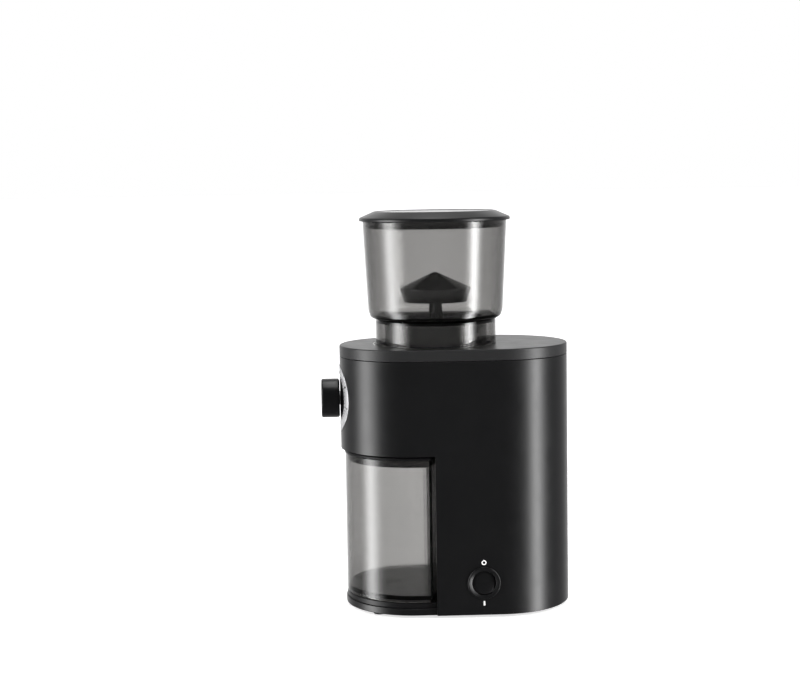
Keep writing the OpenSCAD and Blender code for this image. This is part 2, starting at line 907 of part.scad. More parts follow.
module upper_bearing() {
    color(steel) on_burr_axis(case_top) rotate_extrude() polygon([
        [journal_r, 0], [6, 0], [6, 0.5], [9, 0.5], [9, 0], [bearing_r, 0],
        [bearing_r, bearing_h], [9, bearing_h], [9, bearing_h - 0.5], [6, bearing_h - 0.5],
        [6, bearing_h], [journal_r, bearing_h]
    ]);
}

module lower_bush() {
    color("#b08d57") on_burr_axis(case_z) {
        ring(4.5, low_journal_r, 2);
        up(2) ring(5.6, low_journal_r, 0.7);
    }
}

module idler_pin() {
    color(steel) translate([0, compound_y, case_z]) cylinder(r = idler_r, h = case_top + 2 - case_z);
}

// ---- motor ----

motor_top = 134;
can_r = 31;
can_z = 62;

module motor_can() {
    color(grey) translate([0, motor_y, can_z]) difference() {
        cylinder(r = can_r, h = motor_top - can_z);
        up(-eps) cylinder(r = can_r - 1.6, h = motor_top - can_z - 1.6);
        cylinder(r = 2.5 + fit, h = far);
        at_motor_screws() cylinder(r = 1.5, h = far);
    }
}

module motor_end_bell() {
    color(black) translate([0, motor_y, can_z - 8]) difference() {
        union() {
            cylinder(r = can_r - 3, h = 2.5);
            up(2.5) ring(can_r, can_r - 4, 5.5);
            cylinder(r = 6, h = 8);
            for (side = [-1, 1]) translate([side * 17 - 5, -4, 0]) cube([10, 8, 7]);
            up(1) ring(can_r - 2, can_r - 6, 3);
        }
        up(-1) cylinder(r = 2.5 + fit, h = far);
    }
}

module motor_mount() {
    color(steel) translate([0, motor_y, motor_top]) difference() {
        union() {
            cylinder(r = can_r + 1, h = 2);
            for (a = [0 : 90 : 270]) rotate([0, 0, a]) translate([9.5, 0, 0])
                cylinder(r = 2.2, h = case_z - motor_top);
        }
        up(-1) cylinder(r = 6.5, h = 4);
        at_motor_screws() up(-1) cylinder(r = 1.6, h = 5);
    }
}

module motor_shaft() {
    color(steel) translate([0, motor_y, can_z - 12])
        cylinder(r = 2.5, h = low_gear_z + low_gear_h + 1 - can_z + 12);
}

module motor_pinion() {
    color(steel) translate([0, motor_y, low_gear_z - 0.2]) rotate([0, 0, 180 / small_teeth])
        gear(small_teeth, low_gear_h + 0.4, 2.5);
}

module armature() {
    color("#8a5a3a") translate([0, motor_y, can_z + 8]) {
        ring(26, 2.5, 52);
        up(-4) ring(9, 2.5, 4);
    }
}

// ---- electrics ----

module control_board() {
    color("#2f5d3a") translate([-30, rear_y - 16, 20]) cube([60, 1.6, 90]);
    color(dark) {
        translate([-20, rear_y - 21, 30]) cube([16, 5, 20]);
        translate([6, rear_y - 22, 60]) cube([14, 6, 14]);
        translate([-14, rear_y - 19, 84]) cube([28, 3, 8]);
    }
}

module interlock_switch() {
    color(dark) {
        translate([-6, grind_y + well_r + wall + 2, well_z - 7]) cube([12, 20, 10]);
        translate([-2, grind_y + well_r + wall + 5, well_z + 3]) cube([4, 4, 2]);
    }
}

module cord_inlet() {
    color(rubber) translate([0, rear_y - 1, 22]) rotate([90, 0, 0]) ring(7, 3.6, 9);
}

housing_shell();
top_cover();
bay_wall();
head_floor();
base_plate();
tray_cover();
rubber_feet();
base_screws();
dial_ring();
dial_marks();
switch_bezel();
switch_body();
printed_marks();
burr_collar();
grind_chamber();
chamber_ring();
chute();
gearbox_case();
gearbox_lid();
case_screws();
upper_bearing();
lower_bush();
idler_pin();
motor_can();
motor_end_bell();
motor_mount();
control_board();
interlock_switch();
cord_inlet();
knob_bush();
shaft_seal();
adjuster_ring();
burr_carrier();
ring_burr();
burr_oring();
bail();
hopper_bowl();
hopper_funnel();
bean_guard();
hopper_gasket();
lid_brim();
lid_disc();
lid_seal();
jar_body();
jar_lid();
jar_seal();
knob_cap();
knob_shaft();
knob_pinion();
knob_pointer();
rocker_button();
cone_burr();
drive_shaft();
impeller();
burr_nut();
drive_gear();
compound_gear();
motor_shaft();
motor_pinion();
armature();
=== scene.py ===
"""Looks of a burr coffee grinder round its CAD frame. Outlines are in millimetres, meshes in metres."""

import json
import math

import bmesh
import bpy
from mathutils import Matrix, Vector


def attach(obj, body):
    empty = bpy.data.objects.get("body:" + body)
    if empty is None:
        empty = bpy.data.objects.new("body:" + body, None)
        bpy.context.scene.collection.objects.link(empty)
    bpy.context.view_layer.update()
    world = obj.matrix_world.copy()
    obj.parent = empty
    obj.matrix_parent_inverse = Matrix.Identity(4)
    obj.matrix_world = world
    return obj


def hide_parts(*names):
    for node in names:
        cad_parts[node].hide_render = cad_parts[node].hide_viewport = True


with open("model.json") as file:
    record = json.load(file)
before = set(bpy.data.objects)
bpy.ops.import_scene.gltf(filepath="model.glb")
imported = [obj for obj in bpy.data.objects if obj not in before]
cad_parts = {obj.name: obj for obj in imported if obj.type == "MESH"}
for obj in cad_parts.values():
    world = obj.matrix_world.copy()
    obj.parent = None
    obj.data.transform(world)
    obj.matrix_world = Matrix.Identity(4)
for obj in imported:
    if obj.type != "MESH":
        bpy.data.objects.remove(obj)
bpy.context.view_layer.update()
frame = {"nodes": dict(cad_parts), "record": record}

MM = 0.001
TURN = 2 * math.pi
ROUND = 160  # segments of a full turn
HOPPER_ROUND = 192  # the same on the hopper and its lid

# The frame's own sizes in millimetres, as the CAD states them: first the body's plan and heights
HALF_W = 64.0
ARC_FRONT, ARC_REAR = -27.75, 44.25
REAR_Y = ARC_REAR + HALF_W
GRIND_Y = -6.75
BAY_Y = -12.25
WALL = 2.4
BODY_Z, HEAD_Z, SEAM_Z, BODY_H = 2.5, 140.3, 221.4, 231.0
CORD_HOLE_R, CORD_Z = 7.0, 22.0

# The well in the cover and the steel collar inside it
WELL_R, WELL_Z = 47.0, 214.0
COLLAR_IN, COLLAR_R, COLLAR_Z = 36.2, 38.2, 227.4

# The bay's V wall, the head's underside, the base and the tray
V_TIP, V_SIDE, BASE_R = 3.4, -11.3, 61.5
V_SLOPE = (V_TIP - V_SIDE) / BASE_R
LINER_R, LINER = 61.4, 2.2
CHUTE_X, CHUTE_FRONT, CHUTE_BACK = 16.5, -59.25, -39.65
BASE_TOP = 8.5
TRAY_R, TRAY_Z, TRAY_TOP = 60.4, 8.7, 13.3
TONGUE_Y, TONGUE_R, TONGUE_ARM = -50.25, 11.0, 25.5
FEET = ((-40, -61), (40, -61), (-44, 61.5), (44, 61.5))
SCREW_WELLS = ((-50, -20), (50, -20), (-44, 74), (44, 74))

# The knob, the dial with its scale in degrees, and the switch
KNOB_Z, KNOB_R, KNOB_BASE = 184.0, 17.1, ARC_FRONT - HALF_W - 2.0
KNOB_FRONT, KNOB_DISH, KNOB_SKIRT = 14.5, 14.15, -1.5
DIAL_R, DIAL_IN = 29.5, 21.4
SCALE_START, SCALE_SWEEP, SCALE_STEPS = 225.0, 270.0, 34
TICK_IN, NUMERAL_R = 22.2, 26.9
SWITCH_Y, SWITCH_Z, ROCKER_X, ROCKER_TILT = 28.05, 30.3, 62.0, 9.0
OFF_RISE, ON_DROP = 17.8, 17.45

# The burr set, with its carrier and bail
BURR_Z, BURR_TOP = 184.0, 206.0
CARRIER_Z, CARRIER_TOP, CARRIER_IN = 201.8, 214.8, 22.4
PIVOT_Z, LUG_TOP = 219.5, 221.3

# The hopper and its lid
RING_BOTTOM, BOWL_BOTTOM, RIM_Z = 218.7, 253.0, 338.5
RING_IN, RING_R, SKIRT_IN, SKIRT_R, SKIRT_Z = 42.6, 44.8, 50.5, 52.7, 231.2
FUNNEL_R = 42.5
PLUG_IN, PLUG_R, SEAL_IN = 57.7, 59.7, 59.1

# The grounds container, its lid and the lid's two finger scoops
JAR_R, JAR_ARC, JAR_SIDE, JAR_TIP = 61.0, -27.25, -15.85, 1.45
JAR_SLOPE = (JAR_TIP - JAR_SIDE) / JAR_R
JAR_FRONT = JAR_ARC - JAR_R
JAR_Z, JAR_RIM, JAR_WALL, LID_T = 13.5, 136.4, 2.2, 2.6
LID_TOP = JAR_RIM + LID_T
HOOD_HALF, HOOD_DROP = 32.0, 9.0
SCOOP_R, SCOOP_X, SCOOP_Y, SCOOP_Z = 14.0, 21.0, -12.55, LID_TOP + 10.8


# ---------------------------------------------------------------- mesh code


def mesh_object(name, points, faces, sharp=32, place=None):
    """A closed mesh from points in millimetres, smooth but for edges over `sharp` degrees."""
    mesh = bpy.data.meshes.new(name)
    mesh.from_pydata([[c * MM for c in p] for p in points], [], faces)
    bm = bmesh.new()
    bm.from_mesh(mesh)
    bmesh.ops.remove_doubles(bm, verts=bm.verts, dist=2e-6)
    bmesh.ops.dissolve_degenerate(bm, edges=bm.edges, dist=1e-7)
    bmesh.ops.recalc_face_normals(bm, faces=bm.faces)
    bm.to_mesh(mesh)
    bm.free()
    if place is not None:
        mesh.transform(place)
    obj = bpy.data.objects.new(name, mesh)
    bpy.context.scene.collection.objects.link(obj)
    smooth(obj, sharp)
    return obj


def smooth(obj, sharp=32):
    obj.data.shade_smooth()
    obj.data.set_sharp_from_angle(angle=math.radians(sharp))


def apply(obj):
    """Writes the modifiers' result into the mesh."""
    graph = bpy.context.evaluated_depsgraph_get()
    mesh = bpy.data.meshes.new_from_object(obj.evaluated_get(graph))
    obj.modifiers.clear()
    obj.data = mesh


def even_normals(obj, sharp=32):
    """Keeps large flat faces flat beside small fillets."""
    smooth(obj, sharp)
    modifier = obj.modifiers.new("normals", "WEIGHTED_NORMAL")
    modifier.keep_sharp = True


def crisp_top(obj):
    """Parts the flat top faces from the fillets round them, so that their long thin faces shade flat."""
    bm = bmesh.new()
    bm.from_mesh(obj.data)
    for edge in bm.edges:
        flat = [face.normal.z > 0.9999 for face in edge.link_faces]
        if any(flat) and not all(flat):
            edge.smooth = False
    bm.to_mesh(obj.data)
    bm.free()


def combine(obj, tools, operation="DIFFERENCE"):
    """Boolean of obj with each tool, which is then removed."""
    for tool in tools:
        modifier = obj.modifiers.new("boolean", "BOOLEAN")
        modifier.operation = operation
        modifier.solver = "EXACT"
        modifier.object = tool
    apply(obj)
    for tool in tools:
        bpy.data.objects.remove(tool)
    return obj


def bevel(obj, width, angle=40, segments=2):
    """Rounds the edges that Booleans left sharp."""
    modifier = obj.modifiers.new("bevel", "BEVEL")
    modifier.width = width * MM
    modifier.segments = segments
    modifier.limit_method = "ANGLE"
    modifier.angle_limit = math.radians(angle)
    modifier.miter_outer = "MITER_ARC"
    apply(obj)
    even_normals(obj)
    return obj


def join(name, parts):
    """One object from several, each a closed shell."""
    bm = bmesh.new()
    for part in parts:
        bm.from_mesh(part.data)
    mesh = bpy.data.meshes.new(name)
    bm.to_mesh(mesh)
    bm.free()
    for part in parts:
        bpy.data.objects.remove(part)
    obj = bpy.data.objects.new(name, mesh)
    bpy.context.scene.collection.objects.link(obj)
    smooth(obj)
    return obj


def rounded(corners, closed=True, steps=4):
    """2-D outline whose corners (x, y, radius) are filleted."""
    out = []
    count = len(corners)
    for i, corner in enumerate(corners):
        radius = corner[2] if len(corner) > 2 else 0
        if not radius or (not closed and i in (0, count - 1)):
            out.append(tuple(corner[:2]))
            continue
        here = Vector(corner[:2])
        before = Vector(corners[i - 1][:2]) - here
        after = Vector(corners[(i + 1) % count][:2]) - here
        half = before.angle(after) / 2
        cut = min(radius / math.tan(half), 0.49 * before.length, 0.49 * after.length)
        radius = cut * math.tan(half)
        before.normalize()
        after.normalize()
        centre = here + (before + after).normalized() * (radius / math.sin(half))
        start, end = here + before * cut - centre, here + after * cut - centre
        a0 = math.atan2(start.y, start.x)
        sweep = (math.atan2(end.y, end.x) - a0 + math.pi) % TURN - math.pi
        for k in range(steps + 1):
            a = a0 + sweep * k / steps
            out.append((centre.x + radius * math.cos(a), centre.y + radius * math.sin(a)))
    return out


def skin(turns, count, closed=True):
    """Faces round `turns` copies of an outline of `count` points, which is closed or open."""
    faces = []
    for j in range(turns):
        k = (j + 1) % turns
        for i in range(count if closed else count - 1):
            m = (i + 1) % count
            faces.append((j * count + i, k * count + i, k * count + m, j * count + m))
    return faces


def lathe(name, profile, segments=ROUND, place=None, sharp=32, shape=None):
    """Turns a closed (radius, height) profile about the Z axis. shape(r, z, angle) may move a point."""
    points = []
    for j in range(segments):
        a = TURN * j / segments
        for r, z in profile:
            turn = a
            if shape is not None:
                r, z, turn = shape(r, z, a)
            points.append((r * math.cos(turn), r * math.sin(turn), z))
    return mesh_object(name, points, skin(segments, len(profile)), sharp, place)


def moved(x, y, z=0.0):
    """Placement at a point in millimetres."""
    return Matrix.Translation((x * MM, y * MM, z * MM))


def spun(degrees, axis):
    """Placement turned about an axis through the origin."""
    return Matrix.Rotation(math.radians(degrees), 4, axis)


ON_BURR_AXIS = moved(0, GRIND_Y)
ON_KNOB_AXIS = moved(0, KNOB_BASE, KNOB_Z) @ spun(90, "X")
ON_SWITCH_AXIS = moved(HALF_W, SWITCH_Y, SWITCH_Z) @ spun(90, "Y")


def loft(name, rings, looped=False, sharp=32):
    """Skin over rings of equally many (x, y, z) points, capped at both ends or looped into a tube."""
    count = len(rings[0])
    points = [p for ring in rings for p in ring]
    faces = []
    for i in range(len(rings) if looped else len(rings) - 1):
        a, b = i * count, ((i + 1) % len(rings)) * count
        for k in range(count):
            m = (k + 1) % count
            faces.append((a + k, a + m, b + m, b + k))
    if not looped:
        faces.append(tuple(range(count))[::-1])
        faces.append(tuple((len(rings) - 1) * count + k for k in range(count)))
    obj = mesh_object(name, points, faces, sharp)
    even_normals(obj, sharp)
    return obj


def block(low, high):
    """A cutting tool: a box between two corners."""
    (x0, y0, z0), (x1, y1, z1) = low, high
    return prism([(x0, y0), (x1, y0), (x1, y1), (x0, y1)], z0, z1)


def prism(plan, z0, z1):
    """A solid for a Boolean: an outline between two heights."""
    return loft("tool", [[(x, y, z) for x, y in plan] for z in (z0, z1)])


def drum(radius, z0, z1, place=None, segments=ROUND):
    """A cutting tool: a disc of some height about the Z axis."""
    return lathe("tool", [(0, z0), (radius, z0), (radius, z1), (0, z1)], segments, place)


def tab(half, low, high, corner, root=0.0):
    """Outline of a tab from low to high: its far corners rounded by `corner`, its near ones by `root`."""
    return rounded([(-half, low, root), (half, low, root), (half, high, corner), (-half, high, corner)])


def arc(cx, cy, r, a0, a1, steps):
    """Points of an arc, from a0 to a1 in degrees."""
    angles = [math.radians(a0 + (a1 - a0) * k / steps) for k in range(steps + 1)]
    return [(cx + r * math.cos(a), cy + r * math.sin(a)) for a in angles]


def stadium(inset):
    """The body's plan, set in by a margin."""
    r = HALF_W - inset
    return arc(0, ARC_FRONT, r, 180, 360, 72) + arc(0, ARC_REAR, r, 0, 180, 72)


def bay_plan(r, back):
    """Plan of the bay in front of the V wall, at a radius, with its back set in."""
    side = V_TIP - V_SLOPE * r - back
    return arc(0, ARC_FRONT, r, 180, 360, 72) + [(r, side), (0, V_TIP - back), (-r, side)]


def jar_plan(inset):
    """Plan of the grounds container: a round front, two corners and a shallow rounded point."""
    r = JAR_R - inset
    side = JAR_SIDE - 0.75 * inset
    tip = (0, JAR_TIP - 1.04 * inset, 40)
    corner = max(2.2 - inset, 0.4)
    front = arc(0, JAR_ARC, r, 180, 360, 72)
    outline = [front[-1], (r, side, corner), tip, (-r, side, corner), front[0]]
    return front + rounded(outline, closed=False, steps=6)[1:-1]


def stack(plan, steps):
    """Rings of a plan function over (inset, height) steps."""
    return [[(x, y, z) for x, y in plan(inset)] for inset, z in steps]


# ---------------------------------------------------------------- materials


def preset(node, **values):
    """Sets a node's inputs. A key's _ stands for a space in the input's name."""
    for key, value in values.items():
        node.inputs[key.replace("_", " ")].default_value = value


class Nodes:
    """Short names for building one material's node tree."""

    def __init__(self, name):
        self.material = bpy.data.materials.new(name)
        self.material.use_nodes = True
        self.tree = self.material.node_tree
        self.shader = self.tree.nodes["Principled BSDF"]
        self.output = self.tree.nodes["Material Output"]
        self.place = self.add("ShaderNodeTexCoord").outputs["Object"]

    def add(self, kind, **settings):
        node = self.tree.nodes.new(kind)
        for key, value in settings.items():
            setattr(node, key, value)
        return node

    def link(self, a, b):
        self.tree.links.new(a, b)

    def feed(self, **outputs):
        """Links outputs to the shader's inputs, named as in preset."""
        for key, output in outputs.items():
            self.link(output, self.shader.inputs[key.replace("_", " ")])

    def stretched(self, scale):
        node = self.add("ShaderNodeMapping")
        preset(node, Scale=scale)
        self.link(self.place, node.inputs["Vector"])
        return node.outputs["Vector"]

    def noise(self, scale, detail, vector=None, rough=0.5):
        node = self.add("ShaderNodeTexNoise")
        preset(node, Scale=scale, Detail=detail, Roughness=rough)
        self.link(vector or self.place, node.inputs["Vector"])
        return node.outputs["Fac"]

    def span(self, factor, low, high, start=0.3, end=0.7):
        """Maps a factor between start and end to a value between low and high."""
        node = self.add("ShaderNodeMapRange")
        preset(node, From_Min=start, From_Max=end, To_Min=low, To_Max=high)
        self.link(factor, node.inputs["Value"])
        return node.outputs["Result"]

    def blend(self, factor, a, b):
        node = self.add("ShaderNodeMix", data_type="RGBA")
        preset(node, A=(*a, 1), B=(*b, 1))
        self.link(factor, node.inputs["Factor"])
        return node.outputs["Result"]

    def relief(self, height, strength, depth):
        """Bump of some depth in millimetres."""
        node = self.add("ShaderNodeBump")
        preset(node, Strength=strength, Distance=depth * MM)
        self.link(height, node.inputs["Height"])
        return node.outputs["Normal"]


def plastic(name, dark, light, rough, grain, depth, specular=0.4):
    """Moulded plastic: slow change of tone, uneven gloss and a fine moulded grain of `grain` mm."""
    n = Nodes(name)
    slow = n.noise(18, 3)
    smudge = n.noise(55, 4, rough=0.6)
    fine = n.noise(1 / (grain * MM), 2)
    n.feed(
        Base_Color=n.blend(slow, dark, light),
        Roughness=n.span(smudge, rough * 0.92, rough * 1.1),
        Normal=n.relief(fine, 0.35, depth),
    )
    preset(n.shader, Specular_IOR_Level=specular)
    return n.material


def turned_metal(name, dark, light, rough, lines=0.12, depth=0.003, across=(0.02, 0.02, 1.0)):
    """Metal turned or brushed round the vertical axis, so its lines follow that way."""
    n = Nodes(name)
    streak = n.noise(1 / (lines * MM), 4, n.stretched(across), 0.7)
    broad = n.noise(60, 3, n.stretched((0.3, 0.3, 3.0)))
    n.feed(
        Base_Color=n.blend(broad, dark, light),
        Roughness=n.span(streak, rough * 0.85, rough * 1.15),
        Normal=n.relief(streak, 0.3, depth),
    )
    preset(n.shader, Metallic=1.0, Anisotropic=0.5)
    return n.material


def smoked(name, edge=1.0, gloss=0.5):
    """Clear grey plastic, tinted by its thickness and faintly waved. `edge` is painted shade: it darkens the
    colour of what is seen at a slant, a painted dark reflection of the surroundings at the edges.
    """
    n = Nodes(name)
    slant = n.add("ShaderNodeLayerWeight").outputs["Facing"]
    n.feed(
        # Painted shade: the colour darkens towards `edge` where the surface is seen at a slant
        Base_Color=n.blend(n.span(slant, 0.0, 1.0, 0.4, 0.95), (1, 1, 1), (edge, edge, edge)),
        Roughness=n.span(n.noise(120, 3), 0.015, 0.035),
        Normal=n.relief(n.noise(45, 2), 0.08, 0.15),
    )
    preset(n.shader, Specular_IOR_Level=gloss, Transmission_Weight=1.0, IOR=1.49)
    tint = n.add("ShaderNodeVolumeAbsorption")
    preset(tint, Color=(0.502, 0.496, 0.488, 1), Density=640)
    n.link(tint.outputs["Volume"], n.output.inputs["Volume"])
    return n.material


def winding():
    """Varnished copper wire, wound upright in close turns."""
    n = Nodes("copper_winding")
    wires = n.add("ShaderNodeTexWave", bands_direction="Z", wave_profile="SIN")
    preset(wires, Scale=320, Distortion=0.6)
    n.link(n.place, wires.inputs["Vector"])
    wire = wires.outputs["Fac"]
    n.feed(
        Base_Color=n.blend(wire, (0.16, 0.05, 0.02), (0.52, 0.21, 0.09)),
        Normal=n.relief(wire, 0.6, 0.3),
    )
    preset(n.shader, Metallic=0.8, Roughness=0.3)
    return n.material


def board():
    """Green lacquered board with faint copper tracks under the lacquer."""
    n = Nodes("board_green")
    upright = n.add("ShaderNodeMapping")
    preset(upright, Rotation=(math.pi / 2, 0, 0))
    n.link(n.place, upright.inputs["Vector"])
    tracks = n.add("ShaderNodeTexBrick")
    preset(tracks, Scale=60, Mortar_Size=0.04, Mortar=(0.03, 0.12, 0.05, 1))
    preset(tracks, Color1=(0.012, 0.05, 0.02, 1), Color2=(0.014, 0.062, 0.026, 1))
    n.link(upright.outputs["Vector"], tracks.inputs["Vector"])
    n.feed(Base_Color=tracks.outputs["Color"])
    preset(n.shader, Roughness=0.22)
    return n.material


# Each plastic's darker and lighter tone, roughness, grain size and depth in millimetres, and specular level
PLASTICS = {
    "black_plastic": ((0.0036, 0.0036, 0.004), (0.005, 0.005, 0.0055), 0.3, 0.35, 0.012),
    "cover_plastic": ((0.012, 0.012, 0.0125), (0.016, 0.016, 0.0165), 0.36, 0.35, 0.016),
    "dark_plastic": ((0.006, 0.006, 0.0065), (0.0085, 0.0085, 0.009), 0.42, 0.5, 0.03),
    "gloss_black": ((0.003, 0.003, 0.0032), (0.0042, 0.0042, 0.0045), 0.16, 0.8, 0.004, 0.5),
    "grey_plastic": ((0.012, 0.012, 0.013), (0.017, 0.017, 0.018), 0.36, 0.4, 0.02),
    "lid_plastic": ((0.004, 0.004, 0.0045), (0.006, 0.006, 0.0065), 0.36, 0.5, 0.012, 0.13),
    "tray_plastic": ((0.004, 0.004, 0.0045), (0.006, 0.006, 0.0065), 0.34, 0.5, 0.012, 0.25),
    "lid_sheen": ((0.03, 0.03, 0.031), (0.04, 0.04, 0.041), 0.2, 0.8, 0.004, 0.6),
    # Painted shade: a dull, barely reflecting black laid on wells, grooves, scoops and recesses where shade
    # falls
    "painted_shade_black": ((0.002, 0.002, 0.002), (0.003, 0.003, 0.003), 0.6, 0.5, 0.02, 0.12),
    "funnel_black": ((0.03, 0.03, 0.031), (0.04, 0.04, 0.041), 0.22, 0.8, 0.004, 0.5),
    "white_ink": ((0.72, 0.72, 0.71), (0.82, 0.82, 0.81), 0.5, 0.2, 0.01),
    "dark_ink": ((0.006, 0.006, 0.006), (0.01, 0.01, 0.01), 0.5, 0.2, 0.01),
    "black_rubber": ((0.008, 0.008, 0.008), (0.013, 0.013, 0.013), 0.62, 0.3, 0.04, 0.3),
    "gear_nylon": ((0.6, 0.58, 0.52), (0.72, 0.7, 0.65), 0.38, 0.6, 0.02, 0.5),
}

# Each metal's tones, roughness, width and depth of its lines in millimetres, and how they are stretched
METALS = {
    "brushed_steel": ((0.36, 0.36, 0.37), (0.54, 0.54, 0.55), 0.26),
    "wire_steel": ((0.1, 0.1, 0.105), (0.16, 0.16, 0.165), 0.3, 0.2, 0.004),
    "bright_ring": ((0.66, 0.66, 0.67), (0.8, 0.8, 0.81), 0.14, 0.4, 0.004),
    "dial_silver": ((0.52, 0.52, 0.53), (0.64, 0.64, 0.65), 0.42, 0.2, 0.006, (1, 1, 1)),
    "bronze": ((0.36, 0.22, 0.09), (0.5, 0.33, 0.15), 0.4, 0.3, 0.01),
    "motor_steel": ((0.3, 0.3, 0.31), (0.42, 0.42, 0.43), 0.34, 0.5, 0.01, (1, 1, 1)),
}

MATERIALS = {
    **{name: plastic(name, *look) for name, look in PLASTICS.items()},
    **{name: turned_metal(name, *look) for name, look in METALS.items()},
    "smoked_clear": smoked("smoked_clear"),
    # The bowl's edge=0.4 is painted shade, a painted dark reflection on its slanted sides
    "smoked_bowl": smoked("smoked_bowl", edge=0.4, gloss=0.36),
    "copper_winding": winding(),
    "board_green": board(),
}


def piece(obj, name, body, nodes, slot, finish=None):
    """Names a finished piece, paints it with its finish, failing that with its slot's material, ties it to
    its body and hides the CAD nodes it stands in for.
    """
    obj.name = name
    obj.data.materials.clear()
    obj.data.materials.append(MATERIALS[finish or slot])
    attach(obj, body)
    if nodes:
        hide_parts(*nodes)
    return obj


def paint_shade(obj, chosen):
    """Lays painted shade: faces chosen by their centre in millimetres and their normal take a dull black
    that stands in for the shade in wells and recesses.
    """
    obj.data.materials.append(MATERIALS["painted_shade_black"])
    for face in obj.data.polygons:
        if chosen(face.center / MM, face.normal):
            face.material_index = 1


# ---------------------------------------------------------------- body


def make_shell():
    """The body's outer wall, open at the bay, with holes for the knob, the switch and the cord."""
    top = SEAM_Z - 0.3
    section = rounded([(0, BODY_Z, 0.5), (0, top, 0.45), (WALL, top), (WALL, BODY_Z)], steps=3)
    shell = loft("shell", stack(stadium, section), looped=True)
    bay = block((-80, -200, -10), (80, BAY_Y, HEAD_Z))
    knob_hole = drum(6, -10, 10, ON_KNOB_AXIS)
    switch_hole = drum(12, -10, 10, ON_SWITCH_AXIS, 96)
    cord_hole = drum(CORD_HOLE_R, -10, 10, moved(0, REAR_Y, CORD_Z) @ spun(90, "X"), 64)
    combine(shell, [bay, knob_hole, switch_hole, cord_hole])
    piece(bevel(shell, 0.8, 40, 3), "body_shell", "housing", ["housing_shell"], "black_plastic")


def make_cover():
    """The flat top, with a round well about the burr set and a finger slot at either side of it."""
    section = [(2, SEAM_Z), (0, SEAM_Z, 0.45), (0, BODY_H, 2.5), (2.6, BODY_H)]
    cover = loft("cover", stack(stadium, rounded(section, closed=False, steps=6)))
    cup_r, lip_z, above = WELL_R + WALL, BODY_H - 1, BODY_H + 9
    cup = [
        (COLLAR_R, WELL_Z - 2), (cup_r, WELL_Z - 2), (cup_r, lip_z),
        (WELL_R, lip_z), (WELL_R, WELL_Z, 1.2), (COLLAR_R, WELL_Z, 0.4),
    ]
    cup = lathe("cup", rounded(cup), place=ON_BURR_AXIS)
    combine(cover, [prism(stadium(WALL), SEAM_Z - 5, BODY_H - 3)])
    combine(cover, [cup], "UNION")
    slots = []
    for side in (-1, 1):
        outer = arc(0, GRIND_Y, cup_r - 0.2, 90 * side - 8.8, 90 * side + 8.8, 10)
        inner = GRIND_Y + side * 20
        slots.append(prism(outer + [(-7.5 * side, inner), (7.5 * side, inner)], WELL_Z, above))
    combine(cover, [drum(WELL_R, WELL_Z, above, ON_BURR_AXIS), *slots])
    piece(bevel(cover, 0.6, 50, 3), "top_shell", "housing", ["top_cover"], "black_plastic", "cover_plastic")
    crisp_top(cover)
    # Painted shade: the well's floor and walls and the finger slots round the burrs are painted dull black
    # for the shade that falls in them
    axis = Vector((0, GRIND_Y, 0))
    paint_shade(cover, lambda at, normal: (at - axis).xy.length < 50 and at.z < BODY_H - 0.7)


def make_bay_wall():
    """The V wall behind the container."""
    side = V_TIP - V_SLOPE * LINER_R
    front = rounded([(-LINER_R, side), (0, V_TIP, 4), (LINER_R, side)], closed=False, steps=8)
    plan = front + [(x, y + LINER) for x, y in front[::-1]]
    wall = loft("wall", [[(x, y, z) for x, y in plan] for z in (TRAY_Z, HEAD_Z + LINER)])
    piece(bevel(wall, 0.4), "bay_back", "housing", ["bay_wall"], "dark_plastic")


def make_head_floor():
    """The head's underside, with the opening that the grounds fall through."""
    top = HEAD_Z + LINER
    section = rounded([(6, top), (0, top), (0, HEAD_Z, 0.5), (6, HEAD_Z)], closed=False)
    floor = loft("floor", stack(lambda inset: bay_plan(LINER_R - inset, inset), section))
    combine(floor, [block((-CHUTE_X, CHUTE_FRONT, 130), (CHUTE_X, CHUTE_BACK, 150))])
    piece(bevel(floor, 0.35), "head_underside", "housing", ["head_floor"], "dark_plastic")


def make_base():
    """The base, with wells for its four screws."""
    section = [(5, BODY_Z), (0, BODY_Z, 0.8), (0, BASE_TOP, 0.7), (5, BASE_TOP)]
    margin = HALF_W - BASE_R
    base = loft("base", stack(lambda inset: stadium(inset + margin), rounded(section, closed=False)))
    combine(base, [drum(3.6, 0, 4.7, moved(x, y), 48) for x, y in SCREW_WELLS])
    piece(bevel(base, 0.3, 50), "base_slab", "housing", ["base_plate"], "black_plastic")


def make_tray():
    """The flat tray under the container, with a groove cut round a tongue."""
    section = rounded([(4, TRAY_Z), (0, TRAY_Z, 0.3), (0, TRAY_TOP, 1.2), (4, TRAY_TOP)], closed=False)
    tray = loft("tray", stack(lambda inset: bay_plan(TRAY_R - inset, 0.1 + inset), section))
    wide, slim, arm = TONGUE_R + 1.0, TONGUE_R - 1.0, TONGUE_Y - TONGUE_ARM
    groove = [(wide, arm), *arc(0, TONGUE_Y, wide, 0, 180, 32), (-wide, arm)]
    groove += [(-slim, arm), *arc(0, TONGUE_Y, slim, 180, 0, 32), (slim, arm)]
    combine(tray, [prism(groove, TRAY_TOP - 2.2, TRAY_TOP + 2)])
    piece(bevel(tray, 0.3, 50), "tray", "housing", ["tray_cover"], "black_plastic", "tray_plastic")
    crisp_top(tray)
    # Painted shade: below the top, the groove's faces are painted dull black for the shade that falls in the
    # groove
    edge = wide - 0.01  # the groove's straight outer walls stay as the tray
    paint_shade(tray, lambda at, normal: at.z < TRAY_TOP - 0.32 and abs(at.x) < edge and at.y > arm)


